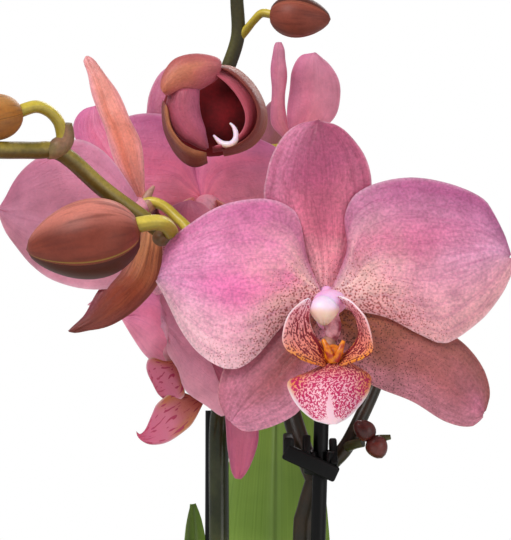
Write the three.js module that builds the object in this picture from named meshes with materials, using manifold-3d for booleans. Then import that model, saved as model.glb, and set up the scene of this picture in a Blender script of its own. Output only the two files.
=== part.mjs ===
// Potted multiflora moth orchid: pot, bark, roots, crown, six leaves, two flower
// spikes on two stakes, seven blooms and their buds. Millimetres, +Z up, the pot
// stands on z = 0 at the origin and the front bloom faces -Y.
import * as THREE from 'three';
import { mergeVertices } from 'three/addons/utils/BufferGeometryUtils.js';
import Module from 'manifold-3d';

const wasm = await Module();
wasm.setup();

// Driving dimensions
const potHeight = 108;
const potTopRadius = 60;
const potFootRadius = 44;
const potWall = 4;
const potFloor = 5;
const rimHeight = 12;
const rimReach = 3;
const barkTop = 96;
const seatGap = 0.3;
const stakeRadius = 1.5;
const petalThickness = 0.8;
const leafThickness = 1.5;
const crownCentre = new THREE.Vector3(0, 15, 0);
const crownRadius = 9;
const crownTop = 126;
const crownFoot = 70;

// Colours
const colours = {
  pot: '#d9d2c5',
  bark: '#6b4a32',
  root: '#9aa58a',
  crown: '#6f8048',
  leaf: '#4f7a45',
  stem: '#5a5a33',
  stake: '#17181a',
  petal: '#d884ae',
  lip: '#dba1b8',
  bud: '#a86a52',
};

const group = new THREE.Group();
group.name = 'potted_multiflora_moth_orchid';

// Seeded random numbers, so that every build gives the same plant
function randomFrom(seed) {
  let state = seed;
  return () => {
    state = (state * 1664525 + 1013904223) % 4294967296;
    return state / 4294967296;
  };
}

function solid(geometry) {
  const bare = geometry.clone();
  bare.deleteAttribute('normal');
  bare.deleteAttribute('uv');
  const merged = mergeVertices(bare, 1e-4);
  return new wasm.Manifold(new wasm.Mesh({
    numProp: 3,
    vertProperties: new Float32Array(merged.attributes.position.array),
    triVerts: new Uint32Array(merged.index.array),
  }));
}

function join(solids) {
  return solids.reduce((total, next) => total.add(next));
}

function addNode(name, body, colour, roughness) {
  const mesh = body.getMesh();
  const geometry = new THREE.BufferGeometry();
  geometry.setAttribute('position', new THREE.BufferAttribute(new Float32Array(mesh.vertProperties), 3));
  geometry.setIndex(new THREE.BufferAttribute(new Uint32Array(mesh.triVerts), 1));
  geometry.computeVertexNormals();
  const material = new THREE.MeshStandardMaterial({ color: colour, roughness, metalness: 0 });
  const node = new THREE.Mesh(geometry, material);
  node.name = name;
  group.add(node);
}

// A thin blade over a surface(u, v), with the same triangles on both faces
function blade(surface, stepsAlong, stepsAcross, thickness) {
  const grid = new THREE.PlaneGeometry(1, 1, stepsAlong, stepsAcross);
  const corner = grid.attributes.position;
  const count = corner.count;
  const positions = [];
  const nudge = 0.01;
  for (const side of [0.5, -0.5]) {
    for (let i = 0; i < count; i += 1) {
      const u = corner.getX(i) + 0.5;
      const v = corner.getY(i) + 0.5;
      const alongU = surface(Math.min(u + nudge, 1), v).sub(surface(Math.max(u - nudge, 0), v));
      const alongV = surface(u, Math.min(v + nudge, 1)).sub(surface(u, Math.max(v - nudge, 0)));
      const normal = alongU.cross(alongV).normalize();
      const point = surface(u, v).addScaledVector(normal, side * thickness);
      positions.push(point.x, point.y, point.z);
    }
  }
  const faces = [];
  const index = grid.index.array;
  for (let i = 0; i < index.length; i += 3) {
    faces.push(index[i], index[i + 1], index[i + 2]);
    faces.push(count + index[i], count + index[i + 2], count + index[i + 1]);
  }
  const border = [];
  const row = stepsAlong + 1;
  for (let i = 0; i < stepsAlong; i += 1) border.push(i);
  for (let i = 0; i < stepsAcross; i += 1) border.push(stepsAlong + i * row);
  for (let i = stepsAlong; i > 0; i -= 1) border.push(stepsAcross * row + i);
  for (let i = stepsAcross; i > 0; i -= 1) border.push(i * row);
  border.forEach((here, i) => {
    const next = border[(i + 1) % border.length];
    faces.push(here, next, count + next);
    faces.push(here, count + next, count + here);
  });
  const geometry = new THREE.BufferGeometry();
  geometry.setAttribute('position', new THREE.Float32BufferAttribute(positions, 3));
  geometry.setIndex(faces);
  return solid(geometry);
}

function edgeCurve(points) {
  return new THREE.SplineCurve(points.map(([x, z]) => new THREE.Vector2(x, z)));
}

// A petal from its two edges, drawn base to tip in the plane of the bloom, and a
// depth function of the share along and the place across (-1 to 1)
function petalSurface(form) {
  const upper = edgeCurve(form.upper);
  const lower = edgeCurve(form.lower);
  return (u, v) => {
    const along = 0.02 + 0.965 * u;
    const a = upper.getPointAt(along);
    const b = lower.getPointAt(along);
    const place = a.lerp(b, v);
    return new THREE.Vector3(place.x, form.depth(along, 2 * v - 1), place.y);
  };
}

// Half of the width of a wave, in mm, grows towards the edge
function wave(u, s, size, turns, start) {
  return size * u * Math.abs(s) ** 2 * Math.sin(turns * Math.PI * 2 * u + start + (s > 0 ? 1.3 : 0));
}

const petalForms = {
  right: {
    upper: [[0.8, 1.6], [3.7, 9], [3.3, 15], [5.3, 19.3], [9.9, 21.5], [16.4, 22.4], [23.7, 21.4],
      [28.9, 19.4], [31.2, 17.4], [33.4, 12.4], [34, 8.2]],
    lower: [[0.4, -0.8], [4.6, -2], [11.4, -3.2], [17.7, -6.4], [22.4, -8.1], [28.8, -4.2],
      [32.4, 0.6], [33.7, 4.6], [34, 7.6]],
    depth: (u, s) => 1 - 3.2 * Math.sin(Math.PI * u) * (1 - s * s) + wave(u, s, 1.3, 1.5, 0.4),
  },
  left: {
    upper: [[-0.8, 1.6], [-3.2, 7.2], [-4.4, 14], [-6.1, 16.9], [-10.7, 18.6], [-17.8, 17.6],
      [-23.7, 14.9], [-30, 10.4], [-31.2, 4.6]],
    lower: [[-0.6, 0.2], [-3.9, -0.9], [-8.3, -5.3], [-13.4, -10.7], [-17.8, -12.6], [-23.6, -9.9],
      [-28, -4.6], [-31, 3.6]],
    depth: (u, s) => 1 - 3.2 * Math.sin(Math.PI * u) * (1 - s * s) + wave(u, s, 1.3, 1.5, 2.4),
  },
  dorsal: {
    upper: [[-2.4, 0.8], [-4.8, 8.3], [-8.5, 14.2], [-11.3, 18.8], [-10.9, 22.9], [-9.9, 26.7],
      [-7.2, 31.1], [-3.4, 33.4]],
    lower: [[2.6, 0.8], [4.6, 8.3], [6.8, 14.7], [8.5, 20.8], [7.6, 26.1], [5, 29], [1.6, 32.2],
      [-2.4, 33.5]],
    depth: (u, s) => 3 - 1.6 * Math.sin(Math.PI * u) * (1 - s * s) + wave(u, s, 0.5, 1, 0.5),
  },
  lowerLeft: {
    upper: [[-1.4, -0.4], [-7, -3.4], [-13, -7.8], [-18.2, -11.6], [-19.9, -16.6], [-19.4, -19.9],
      [-18, -22.4]],
    lower: [[0.8, -4.2], [-0.6, -12.6], [-4.4, -20.2], [-9.6, -23.4], [-14.7, -24.5], [-17.3, -23.2]],
    depth: (u, s) => 3 - 1.6 * Math.sin(Math.PI * u) * (1 - s * s) + 0.8 * u * u,
  },
  lowerRight: {
    upper: [[1.4, 0.2], [9, -0.8], [17, -3.4], [24.7, -7.2], [29.1, -12], [30.7, -17],
      [29.8, -20.6]],
    lower: [[-0.4, -4], [3.6, -12.6], [9.2, -16.2], [16.2, -19.1], [22.1, -22.6], [26.9, -23.6],
      [29.2, -21.8]],
    depth: (u, s) => 3 - 1.6 * Math.sin(Math.PI * u) * (1 - s * s) + 0.8 * u * u,
  },
};

// How far forward a side lobe of a lip stands
function sideLobeDepth(u, s) {
  return -4.4 + (0.8 + 1.6 * Math.sin(Math.PI * u)) * (s - 1) - Math.sin(Math.PI * u);
}

const lipForms = {
  middle: {
    upper: [[-0.6, -10.2], [-0.9, -11.8], [-3.6, -13.2], [-7.1, -14.6], [-6.7, -17], [-4.9, -19.5],
      [-2.4, -21.2], [0, -21.5]],
    lower: [[4.3, -10.2], [4.9, -11.8], [6.6, -12.7], [8.1, -14], [7.5, -16.7], [5.6, -19],
      [3.2, -20.8], [1.1, -21.5]],
    depth: (u, s) => -4 - 12 * u ** 0.8 + 5.5 * s * s * Math.sin(Math.PI * u ** 0.8),
  },
  sideLeft: {
    upper: [[-3.2, 0.5], [-4.4, 0], [-5.7, -0.9], [-7.2, -2.6], [-8.1, -5.2], [-8.1, -7.7],
      [-6.3, -9.8], [-2.9, -11.4], [-0.6, -12]],
    lower: [[-3, 0.2], [-2.9, -0.9], [-3.2, -3.3], [-2.6, -5.5], [-1.8, -6.8], [-0.8, -7.9],
      [-0.2, -9.6], [0.2, -11]],
    depth: sideLobeDepth,
  },
  sideRight: {
    upper: [[1.8, 0.8], [3.1, 0.5], [4.4, -0.3], [5.7, -1.7], [6.9, -3.4], [7.8, -6.8], [7.9, -9.2],
      [6.3, -10.4], [3.2, -11.6], [1.7, -12]],
    lower: [[2, 0.5], [3.5, -0.9], [4.6, -2.2], [5.3, -3.7], [5.6, -6.1], [4.7, -7.9], [3.8, -8.8],
      [2.8, -9.9], [1.8, -11.2]],
    depth: sideLobeDepth,
  },
};

// Petals of the rear blooms that are bent or turned unlike the front bloom's, drawn as seen from
// the front of the plant
const ownPetals = {
  bloom_b: {
    near: {
      upper: [[-0.4, -0.6], [-3, 3.9], [-6.3, 9], [-9.8, 12.1], [-13.9, 13.5], [-18, 11.7],
        [-22.9, 8], [-26.4, 3.9], [-28.8, -0.4]],
      lower: [[0.3, -2.1], [-1, -11.9], [-5.1, -16.8], [-11.4, -17.6], [-17.8, -15.8],
        [-22.3, -12.7], [-25.4, -9.4], [-28, -5.8], [-28.9, -2.1]],
      depth: (u, s) => -0.5 - 15 * u + 1.5 * Math.sin(Math.PI * u) * (1 - s * s),
    },
    low: {
      upper: [[2.6, -4.5], [3.6, -8.2], [3.6, -11.3], [2.8, -16.4], [-1.3, -21.6], [-7.1, -24.9],
        [-12.9, -26.5], [-15.1, -26.5]],
      lower: [[-0.7, -3.6], [-3.2, -9.4], [-5.2, -13.3], [-8.3, -16.4], [-11.6, -21.6],
        [-14.5, -24.9], [-15.6, -26.1]],
      depth: (u, s) => -1.5 - 6 * u ** 0.6 - Math.sin(Math.PI * u) * (1 - s * s),
    },
    upright: {
      upper: [[-1, 0], [-3.4, 3.8], [-6.5, 9.2], [-9.8, 18.7], [-12.2, 27], [-13.6, 30.6], [-13.2, 31.8]],
      lower: [[0.6, 0.4], [-0.2, 3.3], [-0.4, 7.3], [-1.1, 14], [-3.8, 19.2], [-7.4, 26.3],
        [-10.8, 31], [-12.4, 31.9]],
      depth: (u, s) => 0.8 + 2 * u - Math.sin(Math.PI * u) * (1 - s * s),
    },
    far: {
      upper: [[-1.2, -0.3], [-7.5, 6.1], [-13.3, 11.6], [-16, 15.5], [-15.7, 18.9], [-13.7, 21.5],
        [-11.6, 22.1]],
      lower: [[0, 0.8], [-1.3, 7.8], [-3, 13.8], [-5.4, 18.5], [-8.4, 21.2], [-10.9, 22.1]],
      depth: (u, s) => 0.8 + 9 * u + Math.sin(Math.PI * u) * (1 - s * s),
    },
  },
  bloom_c: {
    side: {
      upper: [[-0.4, -0.3], [-2.7, 5.3], [-3.9, 11.1], [-2, 15.1], [2.4, 16.7],
        [8.2, 16.2], [13.4, 14.4], [18.7, 11.8], [21.7, 8.6]],
      lower: [[0.6, -1.7], [4.7, -3.1], [10.6, -3.1], [16.4, -1.7], [20.3, 1.6],
        [22.2, 5.3], [22.2, 7.6]],
      depth: (u, s) => 1 - 2 * Math.sin(Math.PI * u) * (1 - s * s),
    },
  },
  bloom_d: {
    wide: {
      upper: [[-1.2, -0.4], [-2.4, 5.7], [-2.5, 11.2], [-1.9, 17.3], [-1, 21.4], [1.3, 25.6], [5, 26.5]],
      lower: [[1.4, -0.4], [6, 3.6], [10.8, 7], [12.7, 11.2], [12.4, 17.8], [9.8, 23.3], [5.8, 26.3]],
      depth: (u, s) => -1 - 4 * u - 2 * Math.sin(Math.PI * u) * (1 - s * s),
    },
    narrow: {
      upper: [[-2, 0.4], [-6.7, 5], [-7.3, 9.4], [-7.2, 18.7], [-6.8, 27.5], [-6, 30.2]],
      lower: [[0, 0.7], [-1.4, 4.7], [-2.9, 9.4], [-2.8, 19.9], [-3, 27.5], [-4.2, 30.2]],
      depth: (u, s) => -0.6 + 2 * u - Math.sin(Math.PI * u) * (1 - s * s),
    },
  },
  bloom_e: {
    near: {
      upper: [[1.2, 0.2], [0.1, 6.7], [-1.7, 10.2], [-4.3, 12.4], [-6.4, 12.2], [-6.9, 10],
        [-6.1, 7.1]],
      lower: [[2.3, -0.9], [5.4, -8.2], [7.7, -13.4], [7, -15.8], [3.4, -13.2], [-1.5, -9.6],
        [-3, -4.9], [-5.7, -0.2], [-5, 3.8], [-5.9, 6.2]],
      depth: (u, s) => 0.8 - 14 * u ** 0.7 - 1.5 * Math.sin(Math.PI * u) * (1 - s * s),
    },
    far: {
      upper: [[-0.5, 0.7], [-3.7, 7.6], [-7.9, 13.2], [-12.5, 12.7], [-16, 9.7], [-17.2, 6.7]],
      lower: [[-1, -0.7], [-3.3, -3.5], [-6.7, -4.9], [-10.5, -3.1], [-14.2, 1.6], [-16.9, 6]],
      depth: (u, s) => 0.8 + 7 * u + 1.5 * Math.sin(Math.PI * u) * (1 - s * s),
    },
    hanging: {
      upper: [[1.5, -0.4], [8.9, -7], [13.9, -13], [14.8, -19], [13.7, -25], [12.6, -28],
        [11.1, -29.7]],
      lower: [[0.2, -1.3], [3.5, -8.5], [6.7, -14.2], [7.9, -19], [7.9, -24], [8.4, -27.4],
        [9.6, -29.5]],
      depth: (u, s) => 0.8 - 7 * u ** 0.8 - 1.5 * Math.sin(Math.PI * u) * (1 - s * s),
    },
    hidden: {
      upper: [[-0.5, 0], [-3, -1.5], [-4, -4], [-3.5, -7], [-2, -9.5]],
      lower: [[0.8, -1.2], [2, -5], [2.4, -8.5], [1, -10.8], [-1, -10.6]],
      depth: (u, s) => 0.8 + 16 * u,
    },
  },
};

// Lip of bloom E, drawn the same way
const lipFormsOfE = {
  middle: {
    upper: [[0.5, -11.4], [-3.8, -10], [-7.7, -12.5], [-9, -14.9], [-10.6, -18.5], [-11.9, -19.8],
      [-12.8, -19.1]],
    lower: [[2.5, -12.7], [0.5, -16.5], [-1.2, -18.5], [-5.5, -21.4], [-9.2, -22.1],
      [-11.5, -21.3], [-12.7, -19.8]],
    depth: (u, s) => -3 - 2.5 * Math.sin(Math.PI * u),
  },
  side: {
    upper: [[-3.1, -2.3], [-6, -3.2], [-9.3, -2.3], [-10.4, -4.1], [-9.8, -6.8], [-8, -8.1]],
    lower: [[-1.7, -4.5], [-2.2, -7.6], [-1.7, -10.8], [-3.5, -12.1], [-6.2, -12.1],
      [-7.7, -10.1]],
    depth: (u, s) => -3.6 - 1.5 * Math.sin(Math.PI * u),
  },
};

// Petals of the front bloom's kind that those take the place of
const leftOut = {
  bloom_b: ['right', 'left', 'dorsal', 'lowerRight'],
  bloom_c: ['right'],
  bloom_d: ['left', 'dorsal'],
  bloom_e: ['right', 'left', 'lowerLeft', 'lowerRight'],
};

function ellipsoid(radii, centre, roundSteps, heightSteps) {
  const ball = new THREE.SphereGeometry(1, roundSteps, heightSteps);
  ball.rotateX(Math.PI / 2);
  ball.scale(...radii);
  ball.translate(...centre);
  return solid(ball);
}

// Depth of the point that petals turn about, in the hub behind the column
const petalPivot = 2;

// A petal set by a droop in the plane of the bloom, a pitch and a swing, in degrees
function turned(surface, [droop, pitch, swing]) {
  const turn = new THREE.Matrix4().makeTranslation(0, petalPivot, 0);
  turn.multiply(new THREE.Matrix4().makeRotationZ(THREE.MathUtils.degToRad(swing)));
  turn.multiply(new THREE.Matrix4().makeRotationX(THREE.MathUtils.degToRad(pitch)));
  turn.multiply(new THREE.Matrix4().makeRotationY(THREE.MathUtils.degToRad(droop)));
  turn.multiply(new THREE.Matrix4().makeTranslation(0, -petalPivot, 0));
  return (u, v) => surface(u, v).applyMatrix4(turn);
}

// Each bloom: the place of its column, the way it faces, and for each petal that
// is set unlike the front bloom's the droop, pitch and swing in degrees
const blooms = [
  { name: 'bloom_a', at: [13, -42, 314.5], yaw: 0, roll: 0, size: 1, turns: {} },
  { name: 'bloom_b', at: [-21.5, -21, 332.6], yaw: -112, roll: 14, size: 0.93, turns: {
    lowerLeft: [6, 4, 44] } },
  { name: 'bloom_c', at: [-10.9, 12.4, 334.4], yaw: 8, roll: 10, size: 0.92, turns: {
    dorsal: [-16, 0, 0], lowerLeft: [0, 6, 0] } },
  { name: 'bloom_d', at: [9.2, 37, 348.6], yaw: 112, roll: 30, size: 0.78, turns: {} },
  { name: 'bloom_e', at: [-12.8, -4, 304.4], yaw: -69, roll: 0, size: 0.9, turns: {
    dorsal: [0, 7, 40] } },
  { name: 'bloom_f', at: [33, 20, 311], yaw: 112, roll: 0, size: 0.8, turns: {} },
  { name: 'bloom_g', at: [1.6, 54.6, 305.2], yaw: 205, roll: 0, size: 0.78, turns: {
    lowerRight: [-26, 0, 0] } },
];

function bloomMatrix(bloom) {
  const rad = THREE.MathUtils.degToRad;
  const matrix = new THREE.Matrix4().makeTranslation(...bloom.at);
  matrix.multiply(new THREE.Matrix4().makeRotationZ(rad(bloom.yaw)));
  matrix.multiply(new THREE.Matrix4().makeRotationY(rad(bloom.roll)));
  matrix.multiply(new THREE.Matrix4().makeScale(bloom.size, bloom.size, bloom.size));
  return matrix;
}

// Steps along and across for each petal, finer in the front bloom
const petalSteps = {
  right: [5, 3],
  left: [5, 3],
  dorsal: [5, 2],
  lowerLeft: [4, 2],
  lowerRight: [4, 2],
};

// Steps for the petals that are drawn as seen from the front
const ownPetalSteps = [6, 3];

// Places a bloom's size and middle, but not the way it faces
function facingMatrix(bloom) {
  const matrix = new THREE.Matrix4().makeTranslation(...bloom.at);
  return matrix.multiply(new THREE.Matrix4().makeScale(bloom.size, bloom.size, bloom.size));
}

function bloomBody(bloom) {
  const thickness = petalThickness / bloom.size;
  const finer = bloom.name === 'bloom_a' ? 1 : 0;
  const hidden = leftOut[bloom.name] ?? [];
  const shown = Object.entries(petalSteps).filter(([petal]) => !hidden.includes(petal));
  const parts = shown.map(([petal, [along, across]]) => {
    const surface = turned(petalSurface(petalForms[petal]), bloom.turns[petal] ?? [0, 0, 0]);
    return blade(surface, along + 3 * finer, across + finer, thickness);
  });
  const column = ellipsoid([2.5, 4.2, 3.4], [0, -1.2, -1.4], 6, 4);
  const hub = ellipsoid([2.8, 3.6, 5], [0.2, 2.6, -1.6], 6, 4);
  const body = join([...parts, column, hub]).transform(bloomMatrix(bloom).elements);
  const own = Object.values(ownPetals[bloom.name] ?? {}).map((form) => {
    return blade(petalSurface(form), ...ownPetalSteps, thickness).transform(facingMatrix(bloom).elements);
  });
  return join([body, ...own]);
}

function lipBody(bloom) {
  const thickness = petalThickness / bloom.size;
  const own = bloom.name === 'bloom_e';
  const lobes = Object.entries(own ? lipFormsOfE : lipForms).map(([lobe, form]) => {
    return blade(petalSurface(form), 4, own || lobe === 'middle' ? 2 : 1, thickness);
  });
  const place = bloomMatrix(bloom);
  const body = join([
    ellipsoid([2.4, 2.2, 2.4], [1.1, -4.4, -9], 6, 5),
    ellipsoid([1.4, 3.5, 1.65], [0.3, -1.3, -8.1], 6, 4),
  ]).transform(place.elements);
  return join([body, ...lobes.map((lobe) => lobe.transform((own ? facingMatrix(bloom) : place).elements))]);
}

// Back of the hub in the bloom's own frame, where its pedicel meets it
const hubBack = 5.72;

function bossPoint(bloom, behind) {
  return new THREE.Vector3(0.2, hubBack + behind / bloom.size, -1.6).applyMatrix4(bloomMatrix(bloom));
}

const bloomByName = Object.fromEntries(blooms.map((bloom) => [bloom.name, bloom]));

// A round stem along a curve, thinner or thicker at its end
function stem(points, startRadius, endRadius, sides, steps) {
  const path = new THREE.CatmullRomCurve3(points.map((point) => new THREE.Vector3(...point)));
  const outline = new THREE.Shape();
  for (let i = 0; i < sides; i += 1) {
    const turn = (2 * Math.PI * i) / sides;
    const x = startRadius * Math.cos(turn);
    const y = startRadius * Math.sin(turn);
    if (i === 0) outline.moveTo(x, y);
    else outline.lineTo(x, y);
  }
  outline.closePath();
  const tube = new THREE.ExtrudeGeometry(outline, { steps, bevelEnabled: false, extrudePath: path });
  const stations = path.getSpacedPoints(steps);
  const place = tube.attributes.position;
  const vertex = new THREE.Vector3();
  for (let i = 0; i < place.count; i += 1) {
    vertex.fromBufferAttribute(place, i);
    let nearest = 0;
    let least = Infinity;
    stations.forEach((station, k) => {
      const miss = Math.abs(vertex.distanceTo(station) - startRadius);
      const tangent = path.getTangentAt(k / steps);
      const lean = Math.abs(vertex.clone().sub(station).dot(tangent));
      if (miss + lean < least) {
        least = miss + lean;
        nearest = k;
      }
    });
    const radius = startRadius + (endRadius - startRadius) * (nearest / steps);
    const offset = vertex.sub(stations[nearest]).multiplyScalar(radius / startRadius);
    const moved = offset.add(stations[nearest]);
    place.setXYZ(i, moved.x, moved.y, moved.z);
  }
  return solid(tube);
}

// Egg-shaped bud from its base to its tip
function egg(base, tip, radius, sides, steps) {
  const from = new THREE.Vector3(...base);
  const to = new THREE.Vector3(...tip);
  const length = from.distanceTo(to);
  const profile = [new THREE.Vector2(0, 0)];
  for (let i = 1; i < steps; i += 1) {
    const share = i / steps;
    const fullness = Math.sin(Math.PI * share ** 0.8) ** 0.58;
    profile.push(new THREE.Vector2(radius * fullness, length * share));
  }
  profile.push(new THREE.Vector2(0, length));
  const body = new THREE.LatheGeometry(profile, sides);
  const turn = new THREE.Quaternion();
  turn.setFromUnitVectors(new THREE.Vector3(0, 1, 0), to.clone().sub(from).normalize());
  body.applyQuaternion(turn);
  body.translate(from.x, from.y, from.z);
  return solid(body);
}

// Flower spikes
const leftPath = [[-2.8, 7.5, 112], [-3.2, 1, 118], [-4, -6, 130], [-6.2, -9.4, 148], [-7.6, -7, 175],
  [-7.6, -2, 220], [-7.6, 2, 263.7], [-7.6, 2, 286.6], [-6.6, 4, 292.7], [-4.5, 6, 298.9],
  [-3.2, 4, 305.3], [-4, -3, 311.8], [-6.3, -13, 318], [-9.3, -21, 322.7], [-12.3, -26, 325],
  [-16, -29, 326.9], [-20, -32, 330.4], [-28.2, -36, 337.2], [-33.5, -39, 341.4],
  [-41.2, -44, 341.9], [-51.8, -52, 342.1], [-59.8, -57, 347], [-66, -60, 353]];
const rightLowPath = [[2.7, 7.5, 112], [3.4, 1, 118], [7, -3.6, 136], [9.5, -5, 180], [9.6, -5.5, 225],
  [9.7, -6, 264.9], [10.5, -6, 271], [12.3, -6, 277.1]];
const rightPath = [[12.3, -6, 277.1], [9.8, -3, 283], [8.4, -1, 286.9], [7.4, 1, 290.3], [6, 6, 295.8],
  [4.4, 15, 303.5], [3.2, 24, 314], [0.6, 28, 326], [-1.7, 28, 337.7], [-3.2, 26, 348.8],
  [-5, 24, 357.5], [-6.1, 24, 364.6], [-3.9, 23, 371.5], [-4.1, 22, 379.3], [-4.5, 20, 388],
  [-2, 17, 396], [2, 15, 401]];
const armPath = [[12.3, -6, 277.1], [15.7, -5, 280.7], [18.5, -6, 283.9], [21.7, -5, 290],
  [24.9, -3, 296.8], [26.7, -2, 303.8], [27, -3, 311.9], [24, -10, 316], [20, -22, 315.5]];

function pedicel(from, bloom, middle) {
  const end = bossPoint(bloom, seatGap);
  const near = bossPoint(bloom, 4);
  return stem([from, ...middle, near.toArray(), end.toArray()], 1.1, 1.2, 5, 5);
}

const bigBudBase = [-21.4, -45, 327];
const bigBudTip = [-41.7, -46, 323.7];
const edgeBudBase = [-42.6, -46, 348.6];
const edgeBudTip = [-53.1, -50, 346.2];
const topBudBase = [3.2, 18, 375.6];
const topBudTip = [16.3, 16, 374.3];

const spikeLeft = join([
  stem(leftPath, 2.3, 1.3, 6, 34),
  stem([[-18, -31, 328.6], [-18.6, -34.5, 325.6], [-17.6, -38.2, 325.4], [-17.1, -41.2, 327.2],
    [-18.2, -43.8, 327.8], [-20.9, -44.9, 327.1]], 1.5, 1.6, 6, 9),
  stem([[-35.1, -40, 342], [-35.1, -42, 347.2], [-36.7, -44, 349.8], [-38.9, -45, 350.8],
    [-41, -46, 350.2], [-42.3, -46, 349]], 1, 1, 6, 8),
  pedicel([-12.1, -26, 325.2], bloomByName.bloom_b, [[-12.3, -25, 328.5]]),
  pedicel([-4.2, 5.4, 300], bloomByName.bloom_e, []),
]);

const spikeRight = join([
  stem(rightLowPath, 2.4, 2.1, 6, 10),
  stem(rightPath, 2, 1.1, 6, 22),
  stem(armPath, 1.6, 1.1, 5, 9),
  pedicel([20, -22, 315.5], bloomByName.bloom_a, []),
  pedicel([-1.7, 28, 337.7], bloomByName.bloom_c, []),
  pedicel([-3.2, 26, 348.8], bloomByName.bloom_d, []),
  pedicel([4.4, 15, 303.5], bloomByName.bloom_f, []),
  pedicel([3.2, 24, 314], bloomByName.bloom_g, []),
  stem([[-3.6, 23, 371.1], [-2.1, 22, 372.7], [-0.3, 20, 374.6], [1.4, 19, 376], [2.9, 18.1, 375.9]],
    0.9, 0.9, 6, 6),
  stem([[-5, 24, 356], [-2.2, 13, 356], [-3.6, 5.5, 354.8], [-5.4, 1.3, 353.6]], 1.3, 1.2, 6, 6),
  stem([[18.5, -6, 283.9], [19.3, -8, 284.3], [20.3, -9, 284.8], [21.5, -9.7, 285.2]], 0.9, 0.8, 6, 5),
]);

addNode('spike_left', spikeLeft, colours.stem, 0.5);
addNode('spike_right', spikeRight, colours.stem, 0.5);

for (const bloom of blooms) {
  addNode(bloom.name, bloomBody(bloom), colours.petal, 0.6);
  addNode(`${bloom.name}_lip`, lipBody(bloom), colours.lip, 0.6);
}

// Buds
addNode('bud_big', egg(bigBudBase, bigBudTip, 7.4, 12, 8), colours.bud, 0.5);
addNode('bud_edge', egg(edgeBudBase, edgeBudTip, 4.2, 10, 7), colours.bud, 0.5);
addNode('bud_top', egg(topBudBase, topBudTip, 4.6, 10, 7), colours.bud, 0.5);

function openingSurface(form) {
  const centre = new THREE.Vector3(-9.6, -9, 352.4);
  const surface = petalSurface(form);
  return (u, v) => surface(u, v).add(centre);
}

const openingForms = {
  left: {
    upper: [[-0.6, 4.4], [-5.6, 4.6], [-9.6, 3.2], [-11.2, -0.4], [-9.4, -4.2], [-7, -6]],
    lower: [[-0.4, 2.6], [-1.4, -1], [-1.8, -4], [-1.6, -6.4], [-2.6, -7.8], [-4.4, -7.6]],
    depth: (u, s) => -7.4 + 3.4 * s * s + 3 * u,
  },
  flap: {
    upper: [[-7, 3.4], [-9.6, 6.4], [-8.2, 10], [-4, 11.8], [-1, 12]],
    lower: [[-4.6, 3.2], [-1.6, 5.1], [1.4, 7.5], [2, 9.9], [0.6, 11.6]],
    depth: (u, s) => -5.4 + 4.4 * u * u + 1.6 * s * s,
  },
  right: {
    upper: [[3, 5.6], [6.1, 4], [8.3, 0.2], [8, -3.4], [4.4, -5.4]],
    lower: [[3.4, 7.6], [7.9, 5.4], [11, 0], [10.4, -4.2], [5, -7]],
    depth: (u, s) => -3 + 3 * s,
  },
  under: {
    upper: [[-9.4, -3.8], [-6, -7.2], [-1.6, -8.6], [4, -6.4], [7.4, -4.8]],
    lower: [[-9, -5.6], [-6.6, -9.6], [-3, -11.4], [2, -10], [7.4, -6.6]],
    depth: (u, s) => -4.4 + 4 * (s * 0.5 + 0.5),
  },
};

const openingSolid = join([
  ...Object.values(openingForms).map((form) => blade(openingSurface(form), 4, 2, 1.2)),
  ellipsoid([10.6, 7, 10], [-9.6, -5.2, 352.4], 10, 6),
]);
addNode('bud_opening', openingSolid, colours.bud, 0.5);

// Small buds at the two ends and on the side shoot, each row joined by its own stalk
addNode('bud_tail', join([
  stem([[-66.25, -60.15, 353.3], [-69, -61.2, 356.4], [-72.5, -62.5, 358.5]], 0.9, 0.7, 6, 3),
  egg([-66.8, -60.4, 353.9], [-71, -58, 364], 3.2, 8, 6),
  egg([-71.5, -62.2, 358], [-79.5, -64, 362], 2.8, 8, 6),
]), colours.bud, 0.5);
addNode('bud_crest', join([
  stem([[2.3, 14.75, 401.35], [5, 12.8, 403.6], [8, 11, 404.6]], 0.9, 0.7, 6, 3),
  egg([2.9, 14.2, 402], [1, 13, 412], 3.2, 8, 6),
  egg([7, 11.6, 404.4], [15, 8.6, 406], 2.8, 8, 6),
]), colours.bud, 0.5);
addNode('shoot_buds', join([
  stem([[23.4, -10.5, 285.7], [23.8, -10.6, 285.8], [27.2, -11.2, 286.4]], 0.9, 0.6, 6, 3),
  egg([23.8, -10.4, 286.2], [19.9, -11.8, 289.4], 2.1, 8, 6),
  egg([23.6, -10.6, 286.4], [25.4, -12.2, 282.2], 2.3, 8, 6),
]), colours.bud, 0.5);

// Stakes
function slantedStake(low, high) {
  const from = new THREE.Vector3(...low);
  const to = new THREE.Vector3(...high);
  const rod = new THREE.CylinderGeometry(stakeRadius, stakeRadius, from.distanceTo(to), 8);
  const turn = new THREE.Quaternion();
  turn.setFromUnitVectors(new THREE.Vector3(0, 1, 0), to.clone().sub(from).normalize());
  rod.applyQuaternion(turn);
  const middle = from.add(to).multiplyScalar(0.5);
  rod.translate(middle.x, middle.y, middle.z);
  return solid(rod);
}

const stakeLeftLow = [-9.2, -15.6, 15];
const stakeLeftHigh = [-9.2, 10.6, 290];
const stakeFrontLow = [5.6, -17.8, 15];
const stakeFrontHigh = [13.4, -11.9, 296];
addNode('stake_left', slantedStake(stakeLeftLow, stakeLeftHigh), colours.stake, 0.4);
addNode('stake_front', slantedStake(stakeFrontLow, stakeFrontHigh), colours.stake, 0.4);

// Plain hole for a stake, a little wider than the stake and deeper than its foot
const holeLength = 110;

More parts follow.
